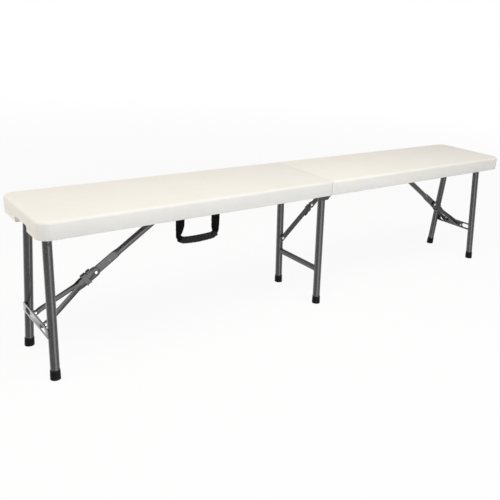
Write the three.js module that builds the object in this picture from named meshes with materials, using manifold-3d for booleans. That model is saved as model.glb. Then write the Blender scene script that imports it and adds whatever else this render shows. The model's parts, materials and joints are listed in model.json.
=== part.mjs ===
// Fold-in-half bench with a moulded plastic seat, two end leg sets, a middle leg set and a carry handle.
// Millimetres, +Z up, X along the seat, Y across it, origin on the floor under the middle of the seat.
// The end leg sets are built on the +X side and mirrored to the -X side.
import * as THREE from 'three';
import { mergeVertices } from 'three/addons/utils/BufferGeometryUtils.js';
import Module from 'manifold-3d';

const wasm = await Module();
wasm.setup();

// Seat
const bench_length = 1830;
const bench_width = 288;
const seat_height = 436;
const seat_thickness = 47;
const seam_gap = 2;
const seat_corner_radius = 32;
const top_edge_radius = 8;
const bottom_edge_radius = 3;
const seam_edge_radius = 3;
const apron_wall = 13;
const deck_thickness = 14;
const recess_corner_radius = 12;
const tack_radius = 11;
const tack_tip_radius = 7;
const tack_depth = 5;
const tack_margin = 62;

// Bulkhead at the seam, hinge bosses and latch boss under the deck
const bulkhead_side_gap = 55;
const boss_margin = 2;
const latch_boss_depth = 10;
const latch_boss_half_width = 11;
const latch_boss_lift = 2;

// Hand notch in each end apron
const notch_near_y = -60;
const notch_far_y = 27;
const notch_height = 17;
const notch_corner_radius = 6;

// Clearances and sheet
const fit_gap = 0.3;
const sheet_thickness = 1.5;
const cut_overrun = 4;
const seat_trim = 16;

// Side rails
const rail_side_gap = 12.5;
const rail_flange = 10;
const rail_lift = 2;
const rail_end_gap = 3;

// Seam hinges
const hinge_drop = 2;
const hinge_width = 38;
const hinge_leaf_length = 44;
const hinge_leaf_thickness = 2.5;
const hinge_leaf_corner = 2.2;
const hinge_barrel_radius = 4.5;
const hinge_pin_radius = 2;
const hinge_pin_head = 1.2;
const hinge_recess = 3.2;

// Tubes
const leg_tube_radius = 12;
const cross_tube_radius = 9.5;
const tube_wall = 1.2;
const bar_tube_radius = 7;

// End leg sets
const leg_pivot_inset = 43;
const leg_pivot_lift = 15;
const leg_rail_gap = 16;
const leg_splay = 33.5;
const leg_foot_out = 7;
const leg_rivet_drop = 47;
const leg_rivet_radius = 3.2;
const leg_rivet_height = 1.8;

// Rubber feet
const foot_height = 26;
const foot_base_radius = 13.5;
const foot_mouth_radius = 12.9;
const foot_sole = 5;
const foot_edge = 2;
const foot_lip_edge = 0.5;

// Pressed stretcher plate of an end leg set
const stretcher_z = 125;
const stretcher_height = 27;
const stretcher_end_gap = 5.5;
const stretcher_flange = 2;
const stretcher_flange_gap = 1.8;
const stretcher_corner = 6;
const stretcher_slot_length = 34;
const stretcher_slot_height = 15;
const stretcher_slot_inset = 41;
const stretcher_ear_gap = 0.5;
const stretcher_ear_height = 15;

// Folding brace of an end leg set
const brace_bar_u = 459;
const fork_bar_thickness = 3;
const fork_bar_width = 15;
const fork_cheek_width = 24;
const fork_cheek_taper = 16;
const fork_throat_half_gap = 4.5;
const fork_throat_length = 47;
const fork_eye_length = 15;
const arm_flat_width = 25;
const arm_flat_thickness = 5.2;
const arm_flat_length = 64;
const arm_taper_length = 24;
const arm_hole_radius = 2.3;
const arm_hole_back = 50;
const arm_hole_low = 3;
const arm_hub_half_width = 13;
const pin_radius = 3.5;
const rivet_head_radius = 5;
const rivet_head_height = 1.6;

// Locking clips on the folding stays
const clip_sheet = 1.3;
const clip_lip = 1.4;
const clip_lip_length = 3;
const clip_ear = 2.7;
const clip_ear_gap = 4;
const end_clip_start = 24;
const end_clip_length = 15;
const end_tab_start = 8;
const middle_clip_start = 10;
const middle_clip_length = 14;
const middle_tab_length = 15;

// Middle leg set
const middle_pivot_x = 12;
const middle_leg_gap = 15.5;
const middle_leg_back = 17.3;
const middle_foot_x = 14.3;
const middle_leg_top_drop = 21;
const middle_ear_thickness = 3;
const middle_ear_bite = 1;
const middle_ear_front = 14;
const middle_ear_low = 36.5;
const middle_ear_chamfer = 14;
const middle_ear_radius = 10;
const middle_bolt_radius = 4;
const middle_bolt_head_radius = 6.5;
const middle_bolt_head_height = 3.5;
const middle_stretcher_z = 123;

// Folding stay of the middle leg set
const stay_width = 20;
const stay_thickness = 3;
const stay_leg_gap = 18.5;
const stay_low_z = 174;
const stay_top_x = 258.5;
const stay_top_lift = 11;
const stay_spacer_radius = 6;
const stay_bracket_half_length = 14;
const stay_bracket_foot = 22;
const stay_eye_radius = 11.5;

// End latch and its keeper
const latch_y = -17;
const latch_lift = 9;
const latch_thickness = 5;
const latch_width = 12;
const latch_tip = 7;
const latch_slot_width = 6;
const latch_peg_radius = 2.5;
const latch_head_radius = 4.5;
const latch_head_height = 2;
const keeper_lift = 7;
const keeper_radius = 2.5;
const keeper_length = 6;

// Carry handle
const handle_x = -478.5;
const handle_span = 111;
const handle_inset = 16;
const handle_drop = 66;
const handle_sag = 7;
const handle_bow = 2.3;
const handle_corner = 16;
const webbing_width = 25;
const webbing_thickness = 2;
const webbing_flat_length = 14;
const webbing_neck_width = 10;
const webbing_core_thickness = 6;
const grip_radius = 10.4;
const grip_bore_radius = 5.8;
const grip_end_inset = 7;
const grip_rib_height = 0.7;
const handle_pivot_drop = 1.5;
const handle_eye_radius = 2.9;
const handle_bar_radius = 1.2;
const anchor_tab_length = 8;
const anchor_tab_width = 8;
const anchor_tab_thickness = 1.2;

// Counts
const hinge_knuckles = 3;
const arc_steps = 3;
const corner_steps = 5;
const edge_steps = 3;
const tube_sides = 20;
const rod_sides = 12;
const rivet_sides = 14;
const tack_sides = 10;
const loft_sides = 16;
const tack_columns = 8;
const tack_rows = 3;
const handle_steps = 26;
const grip_ribs = 7;
const grip_rib_steps = 3;
const taper_steps = 4;
const full_round_share = 0.999;
const arm_square_share = 0.55;
const arm_tip_shares = [0, 0.5, 0.8, 0.96];
const dome_shoulder_share = 0.86;
const dome_rise_share = 0.6;
const webbing_edge_share = 0.6;
const merge_distance = 1e-5;

// Places worked out from the sizes
const half_length = bench_length / 2;
const half_width = bench_width / 2;
const seam_x = seam_gap / 2;
const underside_z = seat_height - seat_thickness;
const ceiling_z = seat_height - deck_thickness;
const inner_end = half_length - apron_wall;
const inner_side = half_width - apron_wall;
const bulkhead_half_width = inner_side - bulkhead_side_gap;
const hinge_y = bulkhead_half_width - hinge_width / 2 - boss_margin;
const rail_web_y = inner_side - rail_side_gap;
const leg_foot_y = rail_web_y - leg_rail_gap;
const leg_top_y = leg_foot_y - leg_splay;
const stretcher_half_width = leg_foot_y - stretcher_end_gap;
const stretcher_slot_y = stretcher_half_width - stretcher_slot_inset;
const stretcher_ear_y = stretcher_slot_y - stretcher_slot_length / 2 - stretcher_ear_gap;
const middle_leg_y = rail_web_y - middle_leg_gap;
const stay_y = middle_leg_y - stay_leg_gap;
const handle_y = handle_inset - half_width;
const hinge_z = underside_z - hinge_drop;
const leg_pivot_u = half_length - leg_pivot_inset;
const leg_pivot_z = underside_z + leg_pivot_lift;
const leg_lean = Math.atan2(leg_foot_out, leg_pivot_z);
const leg_drop = leg_pivot_z / Math.cos(leg_lean);
const middle_lean = Math.atan2(middle_foot_x - middle_pivot_x + middle_leg_back, leg_pivot_z);
const middle_drop = leg_pivot_z / Math.cos(middle_lean) - middle_leg_back * Math.tan(middle_lean);

// A place in the X-Z plane is a THREE.Vector2 (x, z).
function turned(point, angle) {
  // Positive angles carry the foot of a hanging leg towards +X.
  const c = Math.cos(angle);
  const s = Math.sin(angle);
  return new THREE.Vector2(point.x * c - point.y * s, point.x * s + point.y * c);
}

// A two-link stay, straight when open and with its upper link level when folded: its pivots,
// its elbow and both link lengths. `way` is 1 or -1, the upper link's folded direction along X.
function stayLayout(pivot, low, high, foldAngle, way) {
  const folded = turned(low.clone().sub(pivot), foldAngle).add(pivot);
  const reach = high.distanceTo(low);
  const rest = high.distanceTo(folded);
  const level = (folded.x - high.x) * way;
  const lower = (reach * reach + rest * rest - 2 * reach * level) / (2 * (reach - level));
  const elbow = low.clone().lerp(high, lower / reach);
  return { low, high, elbow, lower, upper: reach - lower };
}

const end_pivot = new THREE.Vector2(leg_pivot_u, leg_pivot_z);
const end_low_local = new THREE.Vector2(0, stretcher_z - leg_pivot_z);
const brace = stayLayout(
  end_pivot,
  turned(end_low_local, leg_lean).add(end_pivot),
  new THREE.Vector2(brace_bar_u, leg_pivot_z),
  -Math.PI / 2 - leg_lean,
  1,
);

const middle_pivot = new THREE.Vector2(middle_pivot_x, leg_pivot_z);
const middle_low_local = new THREE.Vector2(-middle_leg_back, stay_low_z - leg_pivot_z);
const stay = stayLayout(
  middle_pivot,
  turned(middle_low_local, middle_lean).add(middle_pivot),
  new THREE.Vector2(stay_top_x, underside_z + stay_top_lift),
  Math.PI / 2 - middle_lean,
  -1,
);

// Materials
const seat_plastic = new THREE.MeshStandardMaterial({ color: 0xf0ebdd, roughness: 0.55, metalness: 0 });
const grey_coat = new THREE.MeshStandardMaterial({ color: 0x5b5e5f, roughness: 0.45, metalness: 0.2 });
const zinc = new THREE.MeshStandardMaterial({ color: 0xc8c9c6, roughness: 0.35, metalness: 0.8 });
const black_rubber = new THREE.MeshStandardMaterial({ color: 0x141415, roughness: 0.8, metalness: 0 });
const black_plastic = new THREE.MeshStandardMaterial({ color: 0x18181a, roughness: 0.5, metalness: 0 });
const black_webbing = new THREE.MeshStandardMaterial({ color: 0x1b1b1e, roughness: 0.9, metalness: 0 });

// Closed geometry to solid and back
function toSolid(geometry) {
  const bare = geometry.index ? geometry.clone() : mergeVertices(geometry.clone());
  bare.deleteAttribute('normal');
  bare.deleteAttribute('uv');
  const merged = mergeVertices(bare, merge_distance);
  const mesh = new wasm.Mesh({
    numProp: 3,
    vertProperties: new Float32Array(merged.attributes.position.array),
    triVerts: new Uint32Array(merged.index.array),
  });
  return new wasm.Manifold(mesh);
}

function toGeometry(solid) {
  const mesh = solid.getMesh();
  const geometry = new THREE.BufferGeometry();
  geometry.setAttribute('position', new THREE.BufferAttribute(new Float32Array(mesh.vertProperties), 3));
  geometry.setIndex(new THREE.BufferAttribute(new Uint32Array(mesh.triVerts), 1));
  geometry.computeVertexNormals();
  return geometry;
}

function joined(...geometries) {
  return toGeometry(geometries.map(toSolid).reduce((sum, solid) => sum.add(solid)));
}

function cut(geometry, ...tools) {
  return toGeometry(tools.map(toSolid).reduce((rest, tool) => rest.subtract(tool), toSolid(geometry)));
}

function common(...geometries) {
  return toGeometry(geometries.map(toSolid).reduce((rest, solid) => rest.intersect(solid)));
}

// Box between two corners
function block(x0, x1, y0, y1, z0, z1) {
  const geometry = new THREE.BoxGeometry(x1 - x0, y1 - y0, z1 - z0);
  return geometry.translate((x0 + x1) / 2, (y0 + y1) / 2, (z0 + z1) / 2);
}

// Round bar along Y between y0 and y1, about the place (x, z)
function rodY(radius, y0, y1, x = 0, z = 0, sides = rod_sides) {
  return new THREE.CylinderGeometry(radius, radius, y1 - y0, sides).translate(x, (y0 + y1) / 2, z);
}

// Round bar along X between x0 and x1, about the place (y, z)
function rodX(radius, x0, x1, y = 0, z = 0, sides = rod_sides) {
  const rod = new THREE.CylinderGeometry(radius, radius, x1 - x0, sides);
  return rod.rotateZ(Math.PI / 2).translate((x0 + x1) / 2, y, z);
}

// Flat outline in the X-Z plane, given thickness from y0 to y1
function plateY(shape, y0, y1, curveSegments = arc_steps) {
  const geometry = new THREE.ExtrudeGeometry(shape, { depth: y1 - y0, bevelEnabled: false, curveSegments });
  return geometry.rotateX(Math.PI / 2).translate(0, y1, 0);
}

// Outline in the X-Y plane, given height from z0 to z1
function plateZ(shape, z0, z1, curveSegments = arc_steps) {
  const options = { depth: z1 - z0, bevelEnabled: false, curveSegments };
  return new THREE.ExtrudeGeometry(shape, options).translate(0, 0, z0);
}

// Outline in the Y-Z plane, given thickness from x0 to x1
function plateX(shape, x0, x1, curveSegments = arc_steps) {
  const geometry = new THREE.ExtrudeGeometry(shape, { depth: x1 - x0, bevelEnabled: false, curveSegments });
  return geometry.rotateX(Math.PI / 2).rotateZ(Math.PI / 2).translate(x0, 0, 0);
}

// Hollow round tube along Z from z = -length to z = 0
function tubeZ(radius, length, sides = tube_sides) {
  const ring = new THREE.Shape().absarc(0, 0, radius, 0, Math.PI * 2);
  ring.holes.push(new THREE.Path().absarc(0, 0, radius - tube_wall, 0, Math.PI * 2));
  const options = { depth: length, bevelEnabled: false, curveSegments: sides / 2 };
  return new THREE.ExtrudeGeometry(ring, options).translate(0, 0, -length);
}

// Hollow round tube along Y between y0 and y1
function tubeY(radius, y0, y1, x = 0, z = 0, sides = tube_sides) {
  return tubeZ(radius, y1 - y0, sides).rotateX(Math.PI / 2).translate(x, y0, z);
}

// Rectangle with rounded corners, from corner to corner
function roundedRect(x0, x1, y0, y1, radius) {
  const shape = new THREE.Shape();
  shape.moveTo(x0 + radius, y0);
  shape.lineTo(x1 - radius, y0);
  shape.absarc(x1 - radius, y0 + radius, radius, -Math.PI / 2, 0);
  shape.lineTo(x1, y1 - radius);
  shape.absarc(x1 - radius, y1 - radius, radius, 0, Math.PI / 2);
  shape.lineTo(x0 + radius, y1);
  shape.absarc(x0 + radius, y1 - radius, radius, Math.PI / 2, Math.PI);
  shape.lineTo(x0, y0 + radius);
  shape.absarc(x0 + radius, y0 + radius, radius, Math.PI, Math.PI * 1.5);
  return shape;
}

// Skin over a row of rings with the same number of points, closed by a fan at each end
function loft(rings) {
  const count = rings[0].length;
  const points = [];
  for (const ring of rings) {
    for (const point of ring) points.push(point.x, point.y, point.z);
  }
  const index = [];
  for (let row = 0; row + 1 < rings.length; row += 1) {
    for (let k = 0; k < count; k += 1) {
      const a = row * count + k;
      const b = row * count + ((k + 1) % count);
      index.push(a, b, b + count, a, b + count, a + count);
    }
  }
  for (const [row, flip] of [[0, true], [rings.length - 1, false]]) {
    const centre = new THREE.Vector3();
    for (const point of rings[row]) centre.add(point);
    centre.divideScalar(count);
    const tip = points.length / 3;
    points.push(centre.x, centre.y, centre.z);
    for (let k = 0; k < count; k += 1) {
      const a = row * count + k;
      const b = row * count + ((k + 1) % count);
      if (flip) index.push(tip, b, a);
      else index.push(tip, a, b);
    }
  }
  const geometry = new THREE.BufferGeometry();
  geometry.setAttribute('position', new THREE.Float32BufferAttribute(points, 3));
  geometry.setIndex(index);
  const solid = toSolid(geometry);
  return solid.volume() < 0 ? loft([...rings].reverse()) : toGeometry(solid);
}

// Mirrored copy with its faces still pointing out
function mirrored(geometry, sx, sy) {
  const copy = (geometry.index ? geometry.clone() : mergeVertices(geometry.clone())).scale(sx, sy, 1);
  const order = copy.index.array;
  for (let k = 0; k < order.length; k += 3) {
    const first = order[k];
    order[k] = order[k + 1];
    order[k + 1] = first;
  }
  copy.computeVertexNormals();
  return copy;
}

function mirroredY(geometry) {
  return mirrored(geometry, 1, -1);
}

const group = new THREE.Group();

function addPiece(name, geometry, material, side = 1) {
  const whole = toGeometry(toSolid(geometry));
  const mesh = new THREE.Mesh(side < 0 ? mirrored(whole, -1, 1) : whole, material.clone());
  mesh.name = name;
  group.add(mesh);
  return mesh;
}

// Moves a geometry that hangs from the origin to its pivot, leaning by the given angle
function hung(geometry, pivot, angle) {
  return geometry.rotateY(-angle).translate(pivot.x, 0, pivot.y);
}

// Lays a geometry built along +X onto the line from one place to another in the X-Z plane
function along(geometry, from, to) {
  const way = to.clone().sub(from);
  return geometry.rotateY(-Math.atan2(way.y, way.x)).translate(from.x, 0, from.y);
}

// SEAT HALVES

// One half's outline seen from above, running past the seam where the end cut trims it
function seatOutline() {
  const r = seat_corner_radius;
  const shape = new THREE.Shape();
  shape.moveTo(-seat_trim, -half_width);
  shape.lineTo(half_length - r, -half_width);
  shape.absarc(half_length - r, r - half_width, r, -Math.PI / 2, 0);
  shape.lineTo(half_length, half_width - r);
  shape.absarc(half_length - r, half_width - r, r, 0, Math.PI / 2);
  shape.lineTo(-seat_trim, half_width);
  return shape;
}

function roundedSeat(edge, z0, z1) {
  const options = {
    depth: z1 - z0 - edge * 2,
    bevelEnabled: true,
    bevelThickness: edge,
    bevelSize: edge,
    bevelOffset: -edge,
    bevelSegments: edge_steps,
    curveSegments: corner_steps,
  };
  return new THREE.ExtrudeGeometry(seatOutline(), options).translate(0, 0, z0 + edge);
}

// Side view of one half, which trims the seam end and rounds its top edge
function seatSideView() {
  const r = seam_edge_radius;
  const shape = new THREE.Shape();
  shape.moveTo(seam_x, underside_z - cut_overrun);
  shape.lineTo(half_length + cut_overrun, underside_z - cut_overrun);
  shape.lineTo(half_length + cut_overrun, seat_height + cut_overrun);
  shape.lineTo(seam_x + r, seat_height + cut_overrun);
  shape.lineTo(seam_x + r, seat_height);
  shape.absarc(seam_x + r, seat_height - r, r, Math.PI / 2, Math.PI);
  return shape;
}

function seatRecess() {
  const r = recess_corner_radius;
  const outline = roundedRect(-seat_trim - r, inner_end, -inner_side, inner_side, r);
  return plateZ(outline, underside_z - cut_overrun, ceiling_z);
}

function seatNotch() {
  const r = notch_corner_radius;
  const top = underside_z + notch_height;
  const outline = roundedRect(notch_near_y, notch_far_y, underside_z - cut_overrun - r, top, r);
  return plateX(outline, inner_end - cut_overrun, half_length + cut_overrun);
}

// Shallow moulded cones that join the two skins of the deck
function tackCones() {
  const cones = [];
  const x0 = seam_x + tack_margin;
  const x1 = inner_end - tack_margin;
  const y1 = inner_side - tack_margin;
  for (let i = 0; i < tack_columns; i += 1) {
    for (let j = 0; j < tack_rows; j += 1) {
      const height = tack_depth + cut_overrun;
      const mouth = tack_radius + (tack_radius - tack_tip_radius) * cut_overrun / tack_depth;
      const cone = new THREE.CylinderGeometry(tack_tip_radius, mouth, height, tack_sides);
      const x = x0 + (x1 - x0) * i / (tack_columns - 1);
      const y = -y1 + 2 * y1 * j / (tack_rows - 1);
      cones.push(cone.rotateX(Math.PI / 2).translate(x, y, ceiling_z + tack_depth - height / 2));
    }
  }
  return cones;
}

function seatHalf() {
  const shell = common(
    roundedSeat(top_edge_radius, underside_z - seat_thickness, seat_height),
    roundedSeat(bottom_edge_radius, underside_z, seat_height + seat_thickness),
    plateY(seatSideView(), -half_width - cut_overrun, half_width + cut_overrun),
  );
  const hollow = cut(shell, seatRecess(), seatNotch(), ...tackCones());
  const top = ceiling_z + fit_gap;
  const foot = underside_z + hinge_recess;
  const boss_end = hinge_leaf_length + boss_margin;
  const bosses = [-hinge_y, hinge_y].map((y) => {
    const half = hinge_width / 2 + boss_margin;
    return block(seam_x, boss_end, y - half, y + half, foot, top);
  });
  const bulkhead = block(seam_x, seam_x + apron_wall, -bulkhead_half_width, bulkhead_half_width, foot, top);
  const latch_u = latchFaceU();
  const latch_boss = block(
    latch_u - latch_boss_depth,
    latch_u,
    latch_y - latch_boss_half_width,
    latch_y + latch_boss_half_width,
    underside_z + latch_boss_lift,
    top,
  );
  return joined(hollow, bulkhead, ...bosses, latch_boss);
}

function latchFaceU() {
  return inner_end - fit_gap * 2 - latch_head_height - latch_thickness - fit_gap * 2;
}

// SIDE RAILS

function railBore(radius, u, z) {
  return rodY(radius + fit_gap, 0, half_width, u, z, rod_sides * 2);
}

function sideRail(extraBores) {
  const z0 = underside_z + rail_lift;
  const z1 = ceiling_z - fit_gap;
  const outer = rail_web_y + sheet_thickness + rail_flange;
  const section = new THREE.Shape();
  section.moveTo(rail_web_y, z0);
  section.lineTo(outer, z0);
  section.lineTo(outer, z0 + sheet_thickness);
  section.lineTo(rail_web_y + sheet_thickness, z0 + sheet_thickness);
  section.lineTo(rail_web_y + sheet_thickness, z1 - sheet_thickness);
  section.lineTo(outer, z1 - sheet_thickness);
  section.lineTo(outer, z1);
  section.lineTo(rail_web_y, z1);
  const channel = plateX(section, seam_x + rail_end_gap, inner_end - recess_corner_radius);
  const bores = [
    railBore(cross_tube_radius, leg_pivot_u, leg_pivot_z),
    railBore(bar_tube_radius, brace_bar_u, leg_pivot_z),
    ...extraBores,
  ];
  return cut(channel, ...bores);
}

// SEAM HINGES

function hingeLeaf(knuckleIsMiddle) {
  const third = hinge_width / hinge_knuckles;
  const z0 = underside_z + hinge_recess - fit_gap - hinge_leaf_thickness;
  const z1 = underside_z + hinge_recess - fit_gap;
  const side_spans = [[-hinge_width / 2, -third / 2 - fit_gap], [third / 2 + fit_gap, hinge_width / 2]];
  const middle_span = [[-third / 2, third / 2]];
  const spans = knuckleIsMiddle ? middle_span : side_spans;
  const start = hinge_barrel_radius + fit_gap * 2;
  const half = hinge_width / 2;
  const leaf = roundedRect(start, hinge_leaf_length, -half, half, hinge_leaf_corner);
  const parts = [plateZ(leaf, z0, z1)];
  for (const [y0, y1] of spans) {
    parts.push(block(0, hinge_leaf_length / 2, y0, y1, z0, z1));
    parts.push(rodY(hinge_barrel_radius, y0, y1, 0, hinge_z, rod_sides * 2));
  }
  const bore = rodY(hinge_pin_radius + fit_gap, -hinge_width, hinge_width, 0, hinge_z);
  return cut(joined(...parts), bore);
}

// END LEG SETS

// Foot that ends on the floor, about a tube that leans by `lean` and splays by `splay`
function rubberFoot(tubeEnd) {
  const bore = leg_tube_radius + fit_gap;
  const rise = foot_height - foot_sole;
  const profile = [
    new THREE.Vector2(0, -foot_sole - foot_edge),
    new THREE.Vector2(foot_base_radius - foot_edge, -foot_sole - foot_edge),
    new THREE.Vector2(foot_base_radius, -foot_sole + foot_edge),
    new THREE.Vector2(foot_mouth_radius + foot_lip_edge, rise - foot_lip_edge * 2),
    new THREE.Vector2(foot_mouth_radius, rise),
    new THREE.Vector2(bore, rise),
    new THREE.Vector2(bore, -fit_gap),
    new THREE.Vector2(0, -fit_gap),
  ];
  return new THREE.LatheGeometry(profile, tube_sides).rotateX(Math.PI / 2).translate(0, 0, tubeEnd);
}

// Everything on a leg hangs from the pivot along -Z and leans out to the side by its splay
function splayed(geometry, sideY, topY, footY, drop) {
  const splay = Math.atan2(footY - topY, drop);
  return geometry.rotateX(sideY * splay).translate(0, sideY * topY, 0);
}

function floorCut(geometry) {
  const far = half_length * 2;
  return cut(geometry, block(-far, far, -far, far, -far, 0));
}

// Straight tube from the pivot height to just above the floor, with its rubber foot
function legParts(sideY, topY, footY, drop, offset, topDrop) {
  const splay = Math.atan2(footY - topY, drop);
  const length = drop / Math.cos(splay);
  const end = -length + foot_sole;
  const tube = tubeZ(leg_tube_radius, length - foot_sole - topDrop).translate(0, 0, -topDrop);
  const place = (geometry) => splayed(geometry, sideY, topY, footY, drop).translate(offset, 0, 0);
  return { tube: place(tube), foot: place(rubberFoot(end)), onSide: place };
}

// Solid round cutter along a vertical leg at y, one clearance larger than the tube
function tubeCutter(y, drop) {
  const radius = leg_tube_radius + fit_gap;
  const cutter = new THREE.CylinderGeometry(radius, radius, drop, tube_sides);
  return cutter.rotateX(Math.PI / 2).translate(0, y, -drop / 2);
}

function stretcherPlate() {
  const z0 = stretcher_z - leg_pivot_z - stretcher_height / 2;
  const z1 = z0 + stretcher_height;
  const zc = (z0 + z1) / 2;
  const face = leg_tube_radius + fit_gap;
  const outline = roundedRect(-stretcher_half_width, stretcher_half_width, z0, z1, stretcher_corner);
  for (const sideY of [-1, 1]) {
    const y = sideY * stretcher_slot_y;
    const half = stretcher_slot_length / 2;
    const tall = stretcher_slot_height / 2;
    outline.holes.push(roundedRect(y - half, y + half, zc - tall, zc + tall, tall * full_round_share));
  }
  const web = plateX(outline, face, face + sheet_thickness);
  const clear = leg_tube_radius + stretcher_flange_gap;
  const inner = leg_foot_y - (leg_foot_y - leg_top_y) * stretcher_z / leg_pivot_z - clear;
  const bite = sheet_thickness / 2;
  const flanges = [z0, z1 - sheet_thickness].map((z) => (
    block(face - stretcher_flange, face + bite, -inner, inner, z, z + sheet_thickness)
  ));
  const ears = [-1, 1].map((sideY) => {
    const outer = sideY * stretcher_ear_y;
    const [y0, y1] = sideY > 0 ? [outer, outer + sheet_thickness] : [outer - sheet_thickness, outer];
    const tall = stretcher_ear_height / 2;
    const ear = new THREE.Shape();
    ear.moveTo(face + bite, zc - tall);
    ear.lineTo(face + bite, zc + tall);
    ear.lineTo(0, zc + tall);
    ear.absarc(0, zc, tall, Math.PI / 2, Math.PI * 1.5);
    return plateY(ear, y0, y1);
  });
  const pin_bores = rodY(pin_radius + fit_gap, -half_width, half_width, 0, zc);
  return cut(joined(web, ...flanges, ...ears), pin_bores);
}

// Side view of a fork bar: an eye, a narrow bar and a wide cheek round the elbow
function forkSideView() {
  const r = fork_bar_width / 2;
  const a = fork_cheek_width / 2;
  const cheek = brace.lower - fork_throat_length;
  const shape = new THREE.Shape();
  shape.absarc(0, 0, r, Math.PI / 2, Math.PI * 1.5);
  shape.lineTo(cheek - fork_cheek_taper, -r);
  shape.lineTo(cheek, -a);
  shape.lineTo(brace.lower, -a);
  shape.absarc(brace.lower, 0, a, -Math.PI / 2, Math.PI / 2);
  shape.lineTo(cheek, a);
  shape.lineTo(cheek - fork_cheek_taper, r);
  return shape;
}

// One bar of the fork on the +Y side, built along +X from the stretcher eye to the elbow
function forkBar() {
  const t = fork_bar_thickness;
  const wide = stretcher_ear_y - fit_gap - t;
  const tight = fork_throat_half_gap;
  const a = fork_cheek_width / 2;
  const end = brace.lower + a;
  const knee = brace.lower - fork_throat_length;
  const plan = new THREE.Shape();
  plan.moveTo(-a, wide);
  plan.lineTo(fork_eye_length, wide);
  plan.lineTo(knee, tight);
  plan.lineTo(end, tight);
  plan.lineTo(end, tight + t);
  plan.lineTo(knee, tight + t);
  plan.lineTo(fork_eye_length, wide + t);
  plan.lineTo(-a, wide + t);
  const bar = common(plateZ(plan, -a, a), plateY(forkSideView(), 0, half_width));
  return cut(
    bar,
    rodY(pin_radius + fit_gap, 0, half_width),
    rodY(pin_radius + fit_gap, 0, half_width, brace.lower, 0),
  );
}

// Ring across the brace arm at distance s, half width a in the X-Z plane and half thickness b across
function armRing(s, a, b, squareness) {
  const ring = [];
  for (let k = 0; k < loft_sides; k += 1) {
    const angle = (2 * Math.PI * (k + 1 / 2)) / loft_sides;
    const c = Math.cos(angle);
    const d = Math.sin(angle);
    const power = 1 - squareness;
    const z = a * Math.sign(c) * Math.abs(c) ** power;
    const y = b * Math.sign(d) * Math.abs(d) ** power;
    ring.push(new THREE.Vector3(s, y, z));
  }
  return ring;
}

// Tube with a flattened end, built along +X from the cross bar to the elbow
function braceArm() {
  const flat_start = brace.upper - arm_flat_length;
  const taper_start = flat_start - arm_taper_length;
  const a = arm_flat_width / 2;
  const b = arm_flat_thickness / 2;
  const r = cross_tube_radius;
  const rings = [];
  for (let k = 0; k <= taper_steps; k += 1) {
    const share = k / taper_steps;
    const ease = THREE.MathUtils.smoothstep(share, 0, 1);
    const s = taper_start + arm_taper_length * share;
    rings.push(armRing(s, r + (a - r) * ease, r + (b - r) * ease, arm_square_share * ease));
  }
  for (const share of arm_tip_shares) {
    rings.push(armRing(brace.upper + a * share, a * Math.sqrt(1 - share * share), b, arm_square_share));
  }
  const skin = loft([armRing(0, r, r, 0), ...rings]);
  const inner = r - tube_wall;
  const bore = loft([armRing(0, inner, inner, 0), armRing(taper_start, inner, inner, 0)]);
  const hub = rodY(cross_tube_radius, -arm_hub_half_width, arm_hub_half_width, 0, 0, rod_sides * 2);
  const bar_bore = rodY(bar_tube_radius + fit_gap, -half_width, half_width, 0, 0, rod_sides * 2);
  return cut(
    joined(skin, hub),
    bore,
    bar_bore,
    rodY(pin_radius + fit_gap, -half_width, half_width, brace.upper, 0),
    rodY(arm_hole_radius, -half_width, half_width, brace.upper - arm_hole_back, -arm_hole_low),
  );
}

// Round head with a short shank along Y; the head's flat side is at y0 and it domes towards `way`
function rivet(radius, height, shank_radius, shank, y0, way) {
  const profile = [
    new THREE.Vector2(0, -shank),
    new THREE.Vector2(shank_radius, -shank),
    new THREE.Vector2(shank_radius, 0),
    new THREE.Vector2(radius, 0),
    new THREE.Vector2(radius * dome_shoulder_share, height * dome_rise_share),
    new THREE.Vector2(radius / 2, height),
    new THREE.Vector2(0, height),
  ];
  const geometry = new THREE.LatheGeometry(profile, rivet_sides);
  if (way < 0) geometry.rotateX(Math.PI);
  return geometry.translate(0, y0, 0);
}

// Sleeve round one bar, built along +X from the elbow. The bar lies between y0 and y1. The sleeve has
// a low lip at each end, an ear along its upper edge, and a finger tab with a second ear that starts
// at tab_start and reaches to the sleeve.
function lockSleeve(start, length, tab_start, tab_end, y0, y1, halfWidth) {
  const t = clip_sheet;
  const inner0 = y0 - fit_gap;
  const inner1 = y1 + fit_gap;
  const tall = halfWidth + fit_gap;
  const end = start + length;
  const face0 = inner0 - t;
  const face1 = inner1 + t;
  const body = block(start, end, face0, face1, -tall - t, tall + t);
  const lips = [start, end - clip_lip_length].map((x) => (
    block(x, x + clip_lip_length, face0, face1, -tall - t - clip_lip, tall)
  ));
  const ear = block(start, end, face0, face1, tall, tall + t + clip_ear);
  const bridge = block(Math.min(tab_start, start), Math.max(tab_end, end), face0, face1, tall, tall + t);
  const tab = block(tab_start, tab_end, face0, face1, tall, tall + t + clip_ear);
  const bore = block(start - cut_overrun, end + cut_overrun, inner0, inner1, -tall, tall);
  return cut(joined(body, ...lips, ear, bridge, tab), bore);
}

// Small domed rivet on the outward side of a leg tube, in the leg's own frame
function legRivet() {
  const dome = rivet(leg_rivet_radius, leg_rivet_height, leg_rivet_radius, tube_wall, leg_tube_radius, 1);
  return dome.translate(0, 0, -leg_rivet_drop);
}

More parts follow.
